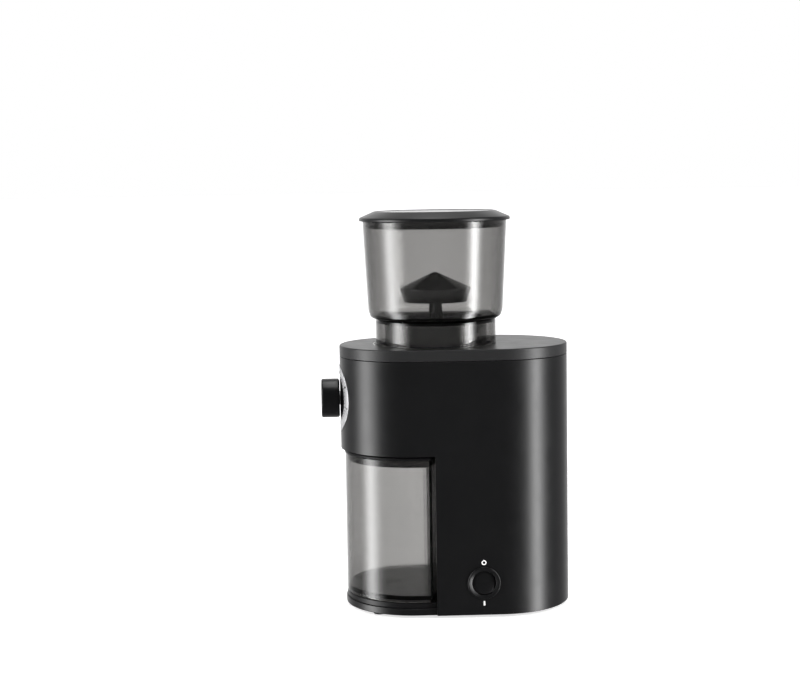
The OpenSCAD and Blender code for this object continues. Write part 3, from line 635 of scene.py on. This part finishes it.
def make_bump():
    """The low round-ended bump on the tongue."""
    radius, height, steps = 4.2, 1.1, 8
    rings = []
    for k in range(steps + 1):
        a = math.pi / 2 * k / steps
        r = radius * math.cos(a) + 0.01
        outline = arc(0, TONGUE_Y + 0.8, r, 180, 360, 16) + arc(0, TONGUE_Y + 3.2, r, 0, 180, 16)
        rings.append([(x, y, TRAY_TOP - 0.2 + height * math.sin(a)) for x, y in outline])
    piece(loft("bump", rings), "tray_bump", "housing", [], "black_plastic", "gloss_black")


def make_feet():
    section = rounded([(0, 0), (5.2, 0, 0.8), (5.6, BODY_Z), (0, BODY_Z)])
    feet = [lathe("foot", section, 48, moved(x, y)) for x, y in FEET]
    piece(join("feet", feet), "feet", "housing", ["rubber_feet"], "black_rubber")


# ---------------------------------------------------------------- dial, knob and switch


def on_front(rho, angle, lift):
    """Point on the head's round front, at a distance and angle round the knob's axis."""
    x = rho * math.cos(angle)
    y = ARC_FRONT - math.sqrt((HALF_W + lift) ** 2 - x * x)
    return x, y, KNOB_Z + rho * math.sin(angle)


def make_dial():
    """The metal scale ring, bent to the head's front."""
    section = rounded([(DIAL_IN, 0), (DIAL_IN, 0.5, 0.25), (DIAL_R, 0.5, 0.35), (DIAL_R, 0)], steps=3)
    points = []
    for j in range(ROUND):
        points += [on_front(rho, TURN * j / ROUND, lift - 0.05) for rho, lift in section]
    dial = mesh_object("dial", points, skin(ROUND, len(section)))
    piece(dial, "dial", "housing", ["dial_ring"], "dial_silver")


def make_dial_print():
    """The scale's ticks, every fifth one longer and with a number."""
    points, faces = [], []
    numerals = []
    for i in range(SCALE_STEPS + 1):
        a = math.radians(SCALE_START - SCALE_SWEEP * i / SCALE_STEPS)
        numbered = i % 5 == 0
        length, half = (2.4, 0.3) if numbered else (1.6, 0.17)
        if numbered:
            numerals.append(numeral(str(i // 5 + 1), a))
        low, high = TICK_IN, TICK_IN + length
        corners = [(low, -half), (high, -half), (high, half), (low, half)]
        first = len(points)
        for lift in (0.42, 0.56):
            points.extend(on_front(rho, a + across / rho, lift) for rho, across in corners)
        faces.append(tuple(first + k for k in (3, 2, 1, 0)))
        faces.append(tuple(first + k for k in (4, 5, 6, 7)))
        for k in range(4):
            m = (k + 1) % 4
            faces.append((first + k, first + m, first + 4 + m, first + 4 + k))
    ticks = mesh_object("marks", points, faces)
    piece(join("marks", [ticks, *numerals]), "dial_print", "housing", ["dial_marks"], "dark_ink")


def numeral(text, angle):
    """A plain number on the dial, upright towards its own angle, bent to the head's front."""
    curve = bpy.data.curves.new("numeral", "FONT")
    curve.body = text
    curve.size = 4.0
    curve.align_x = "CENTER"
    curve.align_y = "CENTER"
    curve.extrude = 0.07
    curve.offset = 0.08
    source = bpy.data.objects.new("numeral", curve)
    bpy.context.scene.collection.objects.link(source)
    bpy.context.view_layer.update()
    mesh = bpy.data.meshes.new_from_object(source.evaluated_get(bpy.context.evaluated_depsgraph_get()))
    bpy.data.objects.remove(source)
    for v in mesh.vertices:
        x, y, lift = v.co
        v.co = Vector(on_front(NUMERAL_R + y, angle - x / NUMERAL_R, 0.49 + lift)) * MM
    bm = bmesh.new()
    bm.from_mesh(mesh)
    bmesh.ops.remove_doubles(bm, verts=bm.verts, dist=1e-7)
    bmesh.ops.recalc_face_normals(bm, faces=bm.faces)
    bm.to_mesh(mesh)
    bm.free()
    obj = bpy.data.objects.new("numeral", mesh)
    bpy.context.scene.collection.objects.link(obj)
    return obj


def make_knob():
    """The knob's cap, with a dished front and a skirt behind, and the line that points at the scale."""
    section = [
        (0, 0), (9.2, 0, 0.3), (9.2, KNOB_SKIRT, 0.3), (15.9, KNOB_SKIRT, 0.4), (16.1, -0.8),
        (KNOB_R, -0.4, 0.5), (KNOB_R, KNOB_FRONT, 2.4), (13.9, KNOB_FRONT, 0.5),
        (13.4, KNOB_DISH, 0.4), (0, KNOB_DISH),
    ]
    knob = lathe("knob", rounded(section, steps=5), place=ON_KNOB_AXIS)
    piece(knob, "knob", "knob", ["knob_cap"], "black_plastic")
    plan = tab(0.8, 6.2, 13.0, 0.5, root=0.5)
    line = loft("line", [[(x, z, t) for x, z in plan] for t in (KNOB_DISH - 0.15, KNOB_DISH + 0.13)])
    line.data.transform(ON_KNOB_AXIS @ spun(SCALE_START - 90, "Z"))
    piece(line, "knob_line", "knob", ["knob_pointer"], "white_ink")


def make_bezel():
    """The switch's raised ring."""
    section = [
        (10.3, -8), (11.9, -8), (11.9, 0), (14, 0, 0.2), (14, 1.1, 0.6), (13.0, 1.3, 0.5), (10.3, 0.1, 0.3),
    ]
    bezel = lathe("bezel", rounded(section), place=ON_SWITCH_AXIS)
    piece(bezel, "switch_ring", "housing", ["switch_bezel"], "black_plastic")


def make_rocker():
    """The round rocker, whose face rises both ways from its middle and falls off at the rim."""
    turns, steps, rim, slope = 96, 14, 9.8, math.tan(math.radians(ROCKER_TILT))
    points = []
    for j in range(turns):
        a = TURN * j / turns
        across = abs(math.sin(a))
        edge = 0.4 + slope * (rim - 0.55) * across
        section = [(0.0, -4.4), (rim - 0.5, -4.4), (rim, -3.6), (rim, min(edge - 0.6, 2.6))]
        for k in range(steps, -1, -1):
            r = (rim - 0.35) * k / steps
            height = 0.4 + slope * math.sqrt((r * across) ** 2 + 0.5)
            fall = 0.6 * max(0, (r / rim - 0.7) / 0.3) ** 2
            section.append((r, height - fall))
        points += [(r * math.cos(a), r * math.sin(a), z) for r, z in section]
    faces = skin(turns, len(points) // turns, closed=False)
    # The turn lays the rocker's own X along the frame's Y, its Y along Z and its Z along X
    turn = spun(90, "Y") @ spun(90, "Z")
    tip = moved(ROCKER_X, SWITCH_Y, SWITCH_Z) @ spun(-ROCKER_TILT, "Y")
    rocker = mesh_object("rocker", points, faces, 40, tip @ turn)
    piece(rocker, "rocker", "rocker", ["rocker_button"], "black_plastic")


def make_marks():
    """A ring above the switch for off, a bar below it for on, and an index line on the cover."""
    section = [(1.15, -0.1), (2.1, -0.1), (2.1, 0.16, 0.08), (1.15, 0.16, 0.08)]
    ring = lathe("ring", rounded(section, steps=2), 48)
    ring.data.transform(moved(0, 0, OFF_RISE) @ ON_SWITCH_AXIS)
    plan = [(SWITCH_Y + y, SWITCH_Z - ON_DROP + z) for y, z in tab(0.7, -2.0, 2.0, 0.3, root=0.3)]
    bar = loft("bar", [[(x, y, z) for y, z in plan] for x in (HALF_W - 0.1, HALF_W + 0.16)])
    outline = arc(0, GRIND_Y, 55.6, -102, -78, 24) + arc(0, GRIND_Y, 54.4, -78, -102, 24)
    index = prism(outline, BODY_H - 0.1, BODY_H + 0.14)
    piece(join("marks", [ring, bar, index]), "ink_marks", "housing", ["printed_marks"], "white_ink")


# ---------------------------------------------------------------- burrs


def make_collar():
    """The steel collar round the burr set: its bright lip, and the sleeve below it, whose steel is painted
    dull black as painted shade in the well.
    """
    top = COLLAR_Z + 1.9
    lip = [
        (COLLAR_IN + 0.4, COLLAR_Z), (COLLAR_R, COLLAR_Z), (COLLAR_R, top, 0.9),
        (COLLAR_IN, top, 0.9), (COLLAR_IN, COLLAR_Z),
    ]
    lip = lathe("lip", rounded(lip, steps=5), place=ON_BURR_AXIS)
    piece(lip, "burr_well_ring", "housing", ["burr_collar"], "bright_ring")
    top = COLLAR_Z - 0.1
    sleeve = [(COLLAR_IN, 196), (COLLAR_R, 196), (COLLAR_R, top, 0.1), (COLLAR_IN, top, 0.1)]
    sleeve = lathe("sleeve", rounded(sleeve), place=ON_BURR_AXIS)
    # Painted shade: the sleeve takes the dull black in place of its steel
    piece(sleeve, "burr_well_sleeve", "housing", [], "bright_ring", "painted_shade_black")


def make_carrier():
    """The ring that holds the upper burr, with the bail's two lugs, two tabs and eight keyholes."""
    band = [
        (CARRIER_IN, BURR_TOP), (29.4, BURR_TOP), (29.4, CARRIER_Z), (31.4, CARRIER_Z, 0.4),
        (31.4, CARRIER_TOP, 0.8), (28.0, CARRIER_TOP, 0.4), (28.0, 217.9, 0.5), (24.6, 217.9, 0.4),
        (24.0, 219.0, 0.3), (23.8, 222, 0.5), (CARRIER_IN, 222, 0.4),
    ]
    carrier = lathe("carrier", rounded(band), place=ON_BURR_AXIS)
    lugs = []
    for side in (-1, 1):
        middle = GRIND_Y + side * 28.25
        plan = tab(2.5, CARRIER_TOP - 1, LUG_TOP, 2.2)
        lugs.append(loft("lug", [[(x, middle + d, z) for x, z in plan] for d in (-0.95, 0.95)]))
        outline = [(x, GRIND_Y + side * y) for x, y in tab(4, 30.6, 33.4, 0.8)]
        lugs.append(prism(outline, CARRIER_TOP - 3.4, CARRIER_TOP - 0.8))
    combine(carrier, lugs, "UNION")
    keyhole = [(-2.3, -1), (2.3, -1), (0.65, 2.9), *arc(0, 4.1, 1.25, -58, 238, 18), (-0.65, 2.9)]
    cuts = []
    for k in range(8):
        tool = loft("tool", [[(r, x, CARRIER_Z + z) for x, z in keyhole] for r in (26, 36)])
        tool.data.transform(ON_BURR_AXIS @ spun(22.5 + 45 * k, "Z"))
        cuts.append(tool)
    cuts.append(drum(1.12, -40, 40, moved(0, GRIND_Y, PIVOT_Z) @ spun(90, "X"), 32))
    combine(carrier, cuts)
    piece(bevel(carrier, 0.25, 40), "burr_holder", "burr_set", ["burr_carrier"], "gloss_black")


def tooth(phase):
    """Saw tooth from 0 to 1, steep on one side."""
    t = phase % 1.0
    return t / 0.78 if t < 0.78 else (1 - t) / 0.22


def make_ring_burr():
    """The upper burr: coarse teeth down its funnel-shaped mouth, and fine ones round its lower edge."""
    throat, throat_z, low_r, fine_z = 17.8, 198, 21.6, 191
    outside = rounded(
        [
            (24.4, BURR_Z, 0.3), (25.05, 184.7, 0.3), (25.15, 186.2, 0.2), (24.05, 186.2),
            (24.05, 188.8), (25.35, 188.8, 0.3), (25.35, BURR_TOP, 0.3),
        ],
        closed=False,
    )
    inside = []
    for k in range(23):
        z = BURR_TOP - k
        if z > throat_z:
            r = CARRIER_IN - (CARRIER_IN - throat) * min(1, (BURR_TOP - z) / (BURR_TOP - throat_z))
        else:
            r = throat + (low_r - throat) * (throat_z - z) / (throat_z - BURR_Z)
        inside.append((r, z))

    def cut_teeth(r, z, a):
        if r >= CARRIER_IN + 0.1 or z > BURR_TOP - 0.5:
            return r, z, a
        count, depth, twist = (48, 0.5, 0.05) if z < fine_z else (12, 1.6, 0.045)
        depth *= min(1, (BURR_TOP - 0.5 - z) / 3)
        return r + depth * tooth(count * (a + (BURR_TOP - z) * twist) / TURN), z, a

    burr = lathe("ring", [*outside, *inside], 480, ON_BURR_AXIS, 30, cut_teeth)
    piece(burr, "ring_burr_steel", "burr_set", ["ring_burr"], "brushed_steel")


def make_burr_oring():
    angles = [TURN * k / 20 for k in range(20)]
    section = [(25.2 + 1.2 * math.cos(a), 187.5 + 1.2 * math.sin(a)) for a in angles]
    seal = lathe("seal", section, place=ON_BURR_AXIS)
    piece(seal, "burr_seal", "burr_set", ["burr_oring"], "black_rubber")


def make_cone_burr():
    """The turning burr: six coarse spiral teeth up its cone, and fine ones round its foot."""
    bottom, top = BURR_Z - 0.8, BURR_Z + 30
    foot_r, foot_h, fine_h, cone_h = 20.4, 3.3, 6, 30.8
    heights = [0, *(0.4 + 0.75 * k for k in range(41)), cone_h]
    profile = []
    for h in heights:
        fall = max(0, h - foot_h) / (cone_h - foot_h)
        profile.append((foot_r - 8.8 * fall, bottom + h))
    profile += [(6.0, top), (3.95, top), (3.95, bottom)]

    def cut_teeth(r, z, a):
        h = z - bottom
        if r < 6.5 or h > cone_h - 0.1:
            return r, z, a
        if h <= fine_h:
            return r - 0.5 * tooth(48 * (a - h * 0.05) / TURN), z, a
        depth = 0.6 + 2.2 * (h - fine_h) / (cone_h - fine_h)
        return r - depth * tooth(6 * (a - h * 0.055) / TURN), z, a

    cone = lathe("cone", profile, 384, ON_BURR_AXIS, 30, cut_teeth)
    piece(cone, "cone_burr_steel", "drive", ["cone_burr"], "brushed_steel")


def make_bail():
    """Bent wire: a low arch with a dip in the middle, its ends turned in through the carrier's lugs."""
    span, rise, dip, radius, sides = 30.5, 29.0, 2.6, 1.05, 16
    arch = []
    for i in range(81):
        y = -span * math.cos(math.pi * i / 80)
        x = rise * math.sqrt(max(0, 1 - (y / span) ** 2)) - dip * math.exp(-((y / 5) ** 2))
        if x > 0.55:
            arch.append(Vector((x, y, 0)))
    bend = [(0.9, 30.3), (0.3, 29.9), (0.0, 29.2), (0.0, 26.2)]
    first = [Vector((x, -y, 0)) for x, y in bend[::-1]]
    last = [Vector((x, y, 0)) for x, y in bend]
    path = first + arch + last
    up = Vector((0, 0, 1))
    rings = []
    for i, p in enumerate(path):
        along = (path[min(i + 1, len(path) - 1)] - path[max(i - 1, 0)]).normalized()
        across = Vector((along.y, -along.x, 0))
        angles = [TURN * k / sides for k in range(sides)]
        ring = [p + (across * math.cos(a) + up * math.sin(a)) * radius for a in angles]
        rings.append([(q.x, q.y + GRIND_Y, q.z + PIVOT_Z) for q in ring])
    piece(loft("wire", rings, sharp=50), "bail_wire", "bail", ["bail"], "brushed_steel", "wire_steel")


# ---------------------------------------------------------------- hopper


def make_bowl():
    """The clear bowl, with a skirt that stands on the cover and a notched ring that locks into the well."""
    section = rounded(
        [
            (62.9, RIM_Z, 0.5), (59, 261, 10), (57.4, 255.4, 3.5), (53.8, BOWL_BOTTOM, 2),
            (SKIRT_R, 252.4, 0.3), (SKIRT_R, SKIRT_Z, 0.5), (SKIRT_IN, SKIRT_Z, 0.5), (SKIRT_IN, 250.8, 1),
            (RING_R, 250.8, 0.8), (RING_R, RING_BOTTOM, 0.5), (RING_IN, RING_BOTTOM, 0.5),
            (RING_IN, BOWL_BOTTOM, 1), (52.4, 255.2, 3), (55.4, 257.4, 3), (56.8, 261.2, 10),
            (60.7, RIM_Z, 0.5),
        ]
    )
    bowl = lathe("bowl", section, HOPPER_ROUND, ON_BURR_AXIS)
    lugs = []
    for side in (-1, 1):
        outline = [(x, GRIND_Y + side * y) for x, y in tab(6.5, 43.5, 46.5, 1)]
        lugs.append(prism(outline, RING_BOTTOM + 0.8, RING_BOTTOM + 3.8))
    combine(bowl, lugs, "UNION")
    notches = []
    for start in (48, 105, 228, 285):
        for step in range(4):
            tool = block((RING_IN - 1, -1.3, RING_BOTTOM - 2), (RING_R + 1.8, 1.3, RING_BOTTOM + 3.5))
            tool.data.transform(ON_BURR_AXIS @ spun(start + 9 * step, "Z"))
            notches.append(tool)
    combine(bowl, notches)
    piece(bevel(bowl, 0.2, 50, 1), "bean_bowl", "hopper", ["hopper_bowl"], "smoked_clear", "smoked_bowl")


def make_funnel():
    """The black cone that leads the beans down to the burrs."""
    low, inner = 224.6, FUNNEL_R - 1.1
    section = [
        (24.4, low, 0.3), (26.2, low, 0.4), (FUNNEL_R, 247),
        (FUNNEL_R, 252, 0.3), (inner, 252, 0.3), (inner, 248.4, 3),
    ]
    funnel = lathe("funnel", rounded(section), place=ON_BURR_AXIS)
    piece(funnel, "bean_funnel", "hopper", ["hopper_funnel"], "gloss_black", "funnel_black")


def make_guard():
    """The cone over the funnel's mouth, on two legs."""
    section = [
        (27.5, 267.5, 0.3), (31, 278.5, 0.5), (31, 279.7, 0.8), (2, 293.1, 2.5),
        (0, 293.5), (0, 291.1), (29.2, 277.7, 0.5), (26.1, 267.5, 0.3),
    ]
    guard = lathe("guard", rounded(section), place=ON_BURR_AXIS)
    leg = [
        (26.9, 267.9), (26.9, 272, 0.4), (28.1, 272, 0.4),
        (48, 255.1, 0.8), (44.2, 254.4, 0.6), (42.4, 253.15, 0.3),
    ]
    leg = rounded(leg, steps=3)
    legs = []
    for degrees in (0, 180):
        blade = loft("leg", [[(r, t, z) for r, z in leg] for t in (-3.5, 3.5)])
        blade.data.transform(ON_BURR_AXIS @ spun(degrees, "Z"))
        legs.append(blade)
    combine(guard, legs, "UNION")
    piece(bevel(guard, 0.15, 50, 1), "bean_cone", "hopper", ["bean_guard"], "gloss_black")


def make_hopper_gasket():
    low, top = 226.2, 228.6
    section = [(38.6, low, 0.4), (FUNNEL_R, low), (FUNNEL_R, top), (38.6, top, 0.4)]
    gasket = lathe("gasket", rounded(section), place=ON_BURR_AXIS)
    piece(gasket, "hopper_seal", "hopper", ["hopper_gasket"], "black_rubber")


def make_hopper_lid():
    """The lid's brim with its plug, the domed disc set in it and the seal round the plug."""
    z, disc_r = RIM_Z, 52
    brim = [
        (disc_r, z + 8.4, 0.4), (53.2, z + 8.35, 0.6), (65.2, z + 3.2, 1.2), (66, z + 1.8, 0.9),
        (65.8, z + 0.25, 0.3), (PLUG_R, z + 0.2, 0.2), (PLUG_R, z - 2.8, 0.2), (SEAL_IN, z - 2.8),
        (SEAL_IN, z - 5), (PLUG_R, z - 5, 0.2), (PLUG_R, z - 6, 0.4), (PLUG_IN, z - 6, 0.4),
        (PLUG_IN, z + 1.8, 1), (disc_r, z + 5.6),
    ]
    brim = lathe("brim", rounded(brim), HOPPER_ROUND, ON_BURR_AXIS)
    piece(brim, "lid_rim", "hopper_lid", ["lid_brim"], "black_plastic")

    edge = disc_r - 0.02
    disc = [(0, z + 5.8), (edge, z + 5.8), (edge, z + 7.5), (51.6, z + 7.85), (50.9, z + 7.98)]
    for k in range(1, 9):
        a = math.pi / 2 * k / 8
        disc.append((50 * math.cos(a), z + 7.98 - 0.35 * math.sin(a)))
    disc = lathe("disc", disc, HOPPER_ROUND, ON_BURR_AXIS)
    piece(disc, "lid_top", "hopper_lid", ["lid_disc"], "grey_plastic", "lid_sheen")

    near, far = SEAL_IN + 0.05, PLUG_R + 0.2
    seal = [(near, z - 5, 0.3), (far, z - 4.6, 0.3), (far, z - 3.2, 0.3), (near, z - 2.8, 0.3)]
    seal = lathe("lid seal", rounded(seal), HOPPER_ROUND, ON_BURR_AXIS)
    piece(seal, "lid_gasket", "hopper_lid", ["lid_seal"], "black_rubber")


# ---------------------------------------------------------------- grounds container


def hood():
    """The lid's rounded lip that hangs over the container's tip, deepest in the middle."""
    steps = 40
    rings = []
    for k in range(steps + 1):
        x = HOOD_HALF * (2 * k / steps - 1)
        face = JAR_TIP - JAR_SLOPE * math.sqrt(x * x + 90) + 1.1
        reach = 1 - (abs(x) / HOOD_HALF) ** 3
        top = LID_TOP + 0.6 * reach - 0.02
        drop = JAR_RIM - 1.5 - (HOOD_DROP - 1.5) * reach
        section = [
            (face - 6, JAR_RIM + 0.2), (face - 1.05, JAR_RIM + 0.2), (face - 1.05, drop, 0.3),
            (face, drop, 0.5), (face, top, 2.2), (face - 6, top),
        ]
        rings.append([(x, y, z) for y, z in rounded(section)])
    return loft("hood", rings)


def scoop_pads():
    """Thicker spots under the two finger scoops."""
    low, top = JAR_RIM - 2.4, JAR_RIM + 0.5
    section = rounded([(0, low), (8.6, low, 0.5), (8.6, top), (0, top)])
    return [lathe("pad", section, 64, moved(x, SCOOP_Y - 3.6)) for x in (-SCOOP_X, SCOOP_X)]


def scoop_balls():
    """The balls that hollow out the two finger scoops."""
    angles = [math.pi * k / 48 for k in range(49)]
    ball = [(SCOOP_R * math.sin(a), -SCOOP_R * math.cos(a)) for a in angles]
    return [lathe("ball", ball, 96, moved(x, SCOOP_Y, SCOOP_Z)) for x in (-SCOOP_X, SCOOP_X)]


def make_jar():
    """The clear container: a foot rim notched over the tray's bump, and a moulding mark on its floor."""
    floor = JAR_Z + 5
    section = [
        (3, JAR_Z), (0, JAR_Z, 1.2), (0, JAR_RIM, 0.3),
        (JAR_WALL, JAR_RIM, 0.3), (JAR_WALL, floor, 1.5), (5, floor),
    ]
    jar = loft("jar", stack(jar_plan, rounded(section, closed=False)))
    hollow = [[(x, y, z) for x, y in jar_plan(JAR_WALL)] for z in (JAR_Z - 1, JAR_Z + 2.2)]
    gate = drum(3, floor - 0.4, floor + 1, moved(0, -43), 48)
    combine(jar, [loft("tool", hollow), block((-5.2, -18.5, JAR_Z - 1), (5.2, 20, JAR_Z + 1.4)), gate])
    piece(bevel(jar, 0.25, 50), "grounds_jar", "jar", ["jar_body"], "smoked_clear")


def make_jar_lid():
    """The container's lid: a plug below, a lip behind, a slanted opening and two finger scoops."""
    section = [
        (6, JAR_RIM), (-0.1, JAR_RIM, 0.3), (-0.5, JAR_RIM + 0.7, 0.5), (-0.5, LID_TOP, 0.9), (6, LID_TOP),
    ]
    lid = loft("lid", stack(jar_plan, rounded(section, closed=False, steps=5)))
    low, high = JAR_RIM - 6, JAR_RIM + 0.5
    plug = stack(jar_plan, rounded([(2.5, high), (2.5, low, 0.3), (4.1, low, 0.3), (4.1, high)]))
    combine(lid, [loft("plug", plug, looped=True), hood(), *scoop_pads()], "UNION")
    near, far = JAR_FRONT + 31.7, JAR_FRONT + 55.7
    opening = rounded([(-24, near, 1), (14, near, 1), (24, far, 1), (-14, far, 1)])
    combine(lid, [prism(opening, JAR_RIM - 2, JAR_RIM + 10), *scoop_balls()])
    piece(bevel(lid, 0.35, 40, 2), "jar_cover", "jar", ["jar_lid"], "grey_plastic", "lid_plastic")
    crisp_top(lid)
    # Painted shade: the finger scoops' hollows and the hood's rear face are painted dull black for the shade
    # that falls there
    middles = [Vector((x, SCOOP_Y, SCOOP_Z)) for x in (-SCOOP_X, SCOOP_X)]

    def shaded(at, normal):
        in_scoop = any(abs((at - middle).length - SCOOP_R) < 0.15 for middle in middles)
        return in_scoop or (normal.y > 0.8 and at.y > JAR_TIP - 13)

    paint_shade(lid, shaded)


def make_jar_seal():
    low, top = JAR_RIM - 4, JAR_RIM - 2
    section = rounded([(2.25, low), (2.25, top), (2.5, top), (2.5, low)])
    seal = loft("seal", stack(jar_plan, section), looped=True)
    piece(seal, "jar_gasket", "jar", ["jar_seal"], "black_rubber")


# ---------------------------------------------------------------- carried-over CAD nodes


def paint_frame():
    """Every CAD node that still shows takes its slot's material."""
    slots = {part["node"]: part["material_slot"] for part in frame["record"]["subparts"]}
    for name, obj in frame["nodes"].items():
        if obj.hide_render:
            continue
        obj.data.materials.clear()
        obj.data.materials.append(MATERIALS[slots[name]])


# ---------------------------------------------------------------- stage

# Brightness of the reflected studio, from behind the object to the camera's side
STUDIO = ((0.0, 1.3), (0.08, 0.7), (0.18, 0.36), (0.35, 0.2), (0.5, 0.12), (1.0, 0.065))

# Brightness across a softbox, from one edge to the other
SOFT_EDGE = ((0.0, 0.0), (0.2, 0.12), (0.35, 0.6), (0.5, 1.0), (0.65, 0.6), (0.8, 0.12), (1.0, 0.0))


def make_stage():
    """A white floor that fades into the white surround."""
    points = [(x, y, 0) for x, y in arc(0, 0, 30000, 0, 357, 119)]
    floor = mesh_object("floor", points, [tuple(range(len(points)))])
    n = Nodes("floor_white")
    white = (0.86, 0.86, 0.86, 1)
    preset(n.shader, Base_Color=white, Roughness=0.7, Specular_IOR_Level=0.1, Emission_Color=(1, 1, 1, 1))
    away = n.add("ShaderNodeVectorMath", operation="LENGTH")
    n.link(n.place, away.inputs[0])
    n.feed(Emission_Strength=n.span(away.outputs["Value"], 0.66, 1.0, 0.3, 1.2))
    floor.data.materials.append(n.material)
    floor.visible_glossy = False
    floor.visible_shadow = False


def set_stops(ramp, stops):
    """Gives a colour ramp grey stops of (position, brightness)."""
    elements = ramp.color_ramp.elements
    while len(elements) < len(stops):
        elements.new(0.5)
    for element, (at, value) in zip(elements, stops):
        element.position = at
        element.color = (value, value, value, 1)


def make_world():
    """White where the camera looks. Reflections see a dim studio, brightest behind the object."""
    world = bpy.data.worlds.new("studio")
    bpy.context.scene.world = world
    world.use_nodes = True
    nodes, link = world.node_tree.nodes, world.node_tree.links.new
    nodes.clear()

    camera_or_glass = nodes.new("ShaderNodeMath")
    camera_or_glass.operation = "MAXIMUM"
    rays = nodes.new("ShaderNodeLightPath")
    link(rays.outputs["Is Camera Ray"], camera_or_glass.inputs[0])
    link(rays.outputs["Is Transmission Ray"], camera_or_glass.inputs[1])

    place, split = nodes.new("ShaderNodeTexCoord"), nodes.new("ShaderNodeSeparateXYZ")
    link(place.outputs["Generated"], split.inputs[0])
    spread = nodes.new("ShaderNodeMapRange")
    preset(spread, From_Min=-1, From_Max=1)
    link(split.outputs["X"], spread.inputs["Value"])
    ramp = nodes.new("ShaderNodeValToRGB")
    set_stops(ramp, STUDIO)
    link(spread.outputs["Result"], ramp.inputs["Fac"])

    seen, lit = nodes.new("ShaderNodeBackground"), nodes.new("ShaderNodeBackground")
    preset(seen, Color=(1, 1, 1, 1))
    link(ramp.outputs["Color"], lit.inputs["Color"])
    mix, output = nodes.new("ShaderNodeMixShader"), nodes.new("ShaderNodeOutputWorld")
    link(camera_or_glass.outputs[0], mix.inputs["Fac"])
    link(lit.outputs[0], mix.inputs[1])
    link(seen.outputs[0], mix.inputs[2])
    link(mix.outputs[0], output.inputs["Surface"])


def softbox(name, place, target, width, height, radiance):
    """A rectangular light facing a point, brightest along its middle. Radiance is how bright its face is."""
    light = bpy.data.lights.new(name, "AREA")
    light.shape = "RECTANGLE"
    light.size, light.size_y = width, height
    light.energy = radiance * math.pi * width * height
    light.use_nodes = True
    nodes, link = light.node_tree.nodes, light.node_tree.links.new
    face, split = nodes.new("ShaderNodeNewGeometry"), nodes.new("ShaderNodeSeparateXYZ")
    profile = nodes.new("ShaderNodeValToRGB")
    profile.color_ramp.interpolation = "B_SPLINE"
    set_stops(profile, SOFT_EDGE)
    link(face.outputs["Parametric"], split.inputs[0])
    link(split.outputs["X"], profile.inputs["Fac"])
    link(profile.outputs["Color"], nodes["Emission"].inputs["Color"])
    obj = bpy.data.objects.new(name, light)
    obj.location = place
    obj.rotation_mode = "QUATERNION"
    obj.rotation_quaternion = (Vector(target) - Vector(place)).to_track_quat("-Z", "Y")
    obj.visible_camera = False
    bpy.context.scene.collection.objects.link(obj)


def make_lights():
    """Two tall boxes at either side of the camera's view, and one above, in metres."""
    reach, middle = 1.6, 0.25
    for name, degrees, width, radiance in (("left_box", -79, 1.5, 11.0), ("right_box", 63, 1.0, 17.5)):
        a = math.radians(degrees)
        place = (reach * math.cos(a), reach * math.sin(a), middle)
        softbox(name, place, (0, 0, middle), width, 2.6, radiance)
    softbox("top_box", (-0.2, 0, 2.2), (0, 0, 0.1), 1.8, 1.8, 4.5)


def make_camera():
    """Side view from a little above, fitted to the object's perspective, in degrees and metres."""
    yaw, pitch, roll = (math.radians(a) for a in (2.109, 5.746, -0.9046))
    level = math.cos(pitch)
    forward = Vector((-math.cos(yaw) * level, math.sin(yaw) * level, -math.sin(pitch)))
    right = forward.cross(Vector((0, 0, 1))).normalized()
    up = right.cross(forward)
    right, up = (
        math.cos(roll) * right + math.sin(roll) * up,
        -math.sin(roll) * right + math.cos(roll) * up,
    )
    camera = bpy.data.cameras.new("camera")
    camera.lens = 74.735
    camera.sensor_width = 36
    camera.clip_end = 100
    obj = bpy.data.objects.new("camera", camera)
    turn = Matrix((right, up, -forward)).transposed().to_4x4()
    obj.matrix_world = Matrix.Translation((1.45098, -0.09176, 0.37962)) @ turn
    bpy.context.scene.collection.objects.link(obj)
    bpy.context.scene.camera = obj


make_shell()
make_cover()
make_bay_wall()
make_head_floor()
make_base()
make_tray()
make_bump()
make_feet()
make_dial()
make_dial_print()
make_knob()
make_bezel()
make_rocker()
make_marks()
make_collar()
make_carrier()
make_ring_burr()
make_burr_oring()
make_cone_burr()
make_bail()
make_bowl()
make_funnel()
make_guard()
make_hopper_gasket()
make_hopper_lid()
make_jar()
make_jar_lid()
make_jar_seal()
paint_frame()
make_stage()
make_world()
make_lights()
make_camera()
bpy.context.scene.view_settings.view_transform = "Standard"
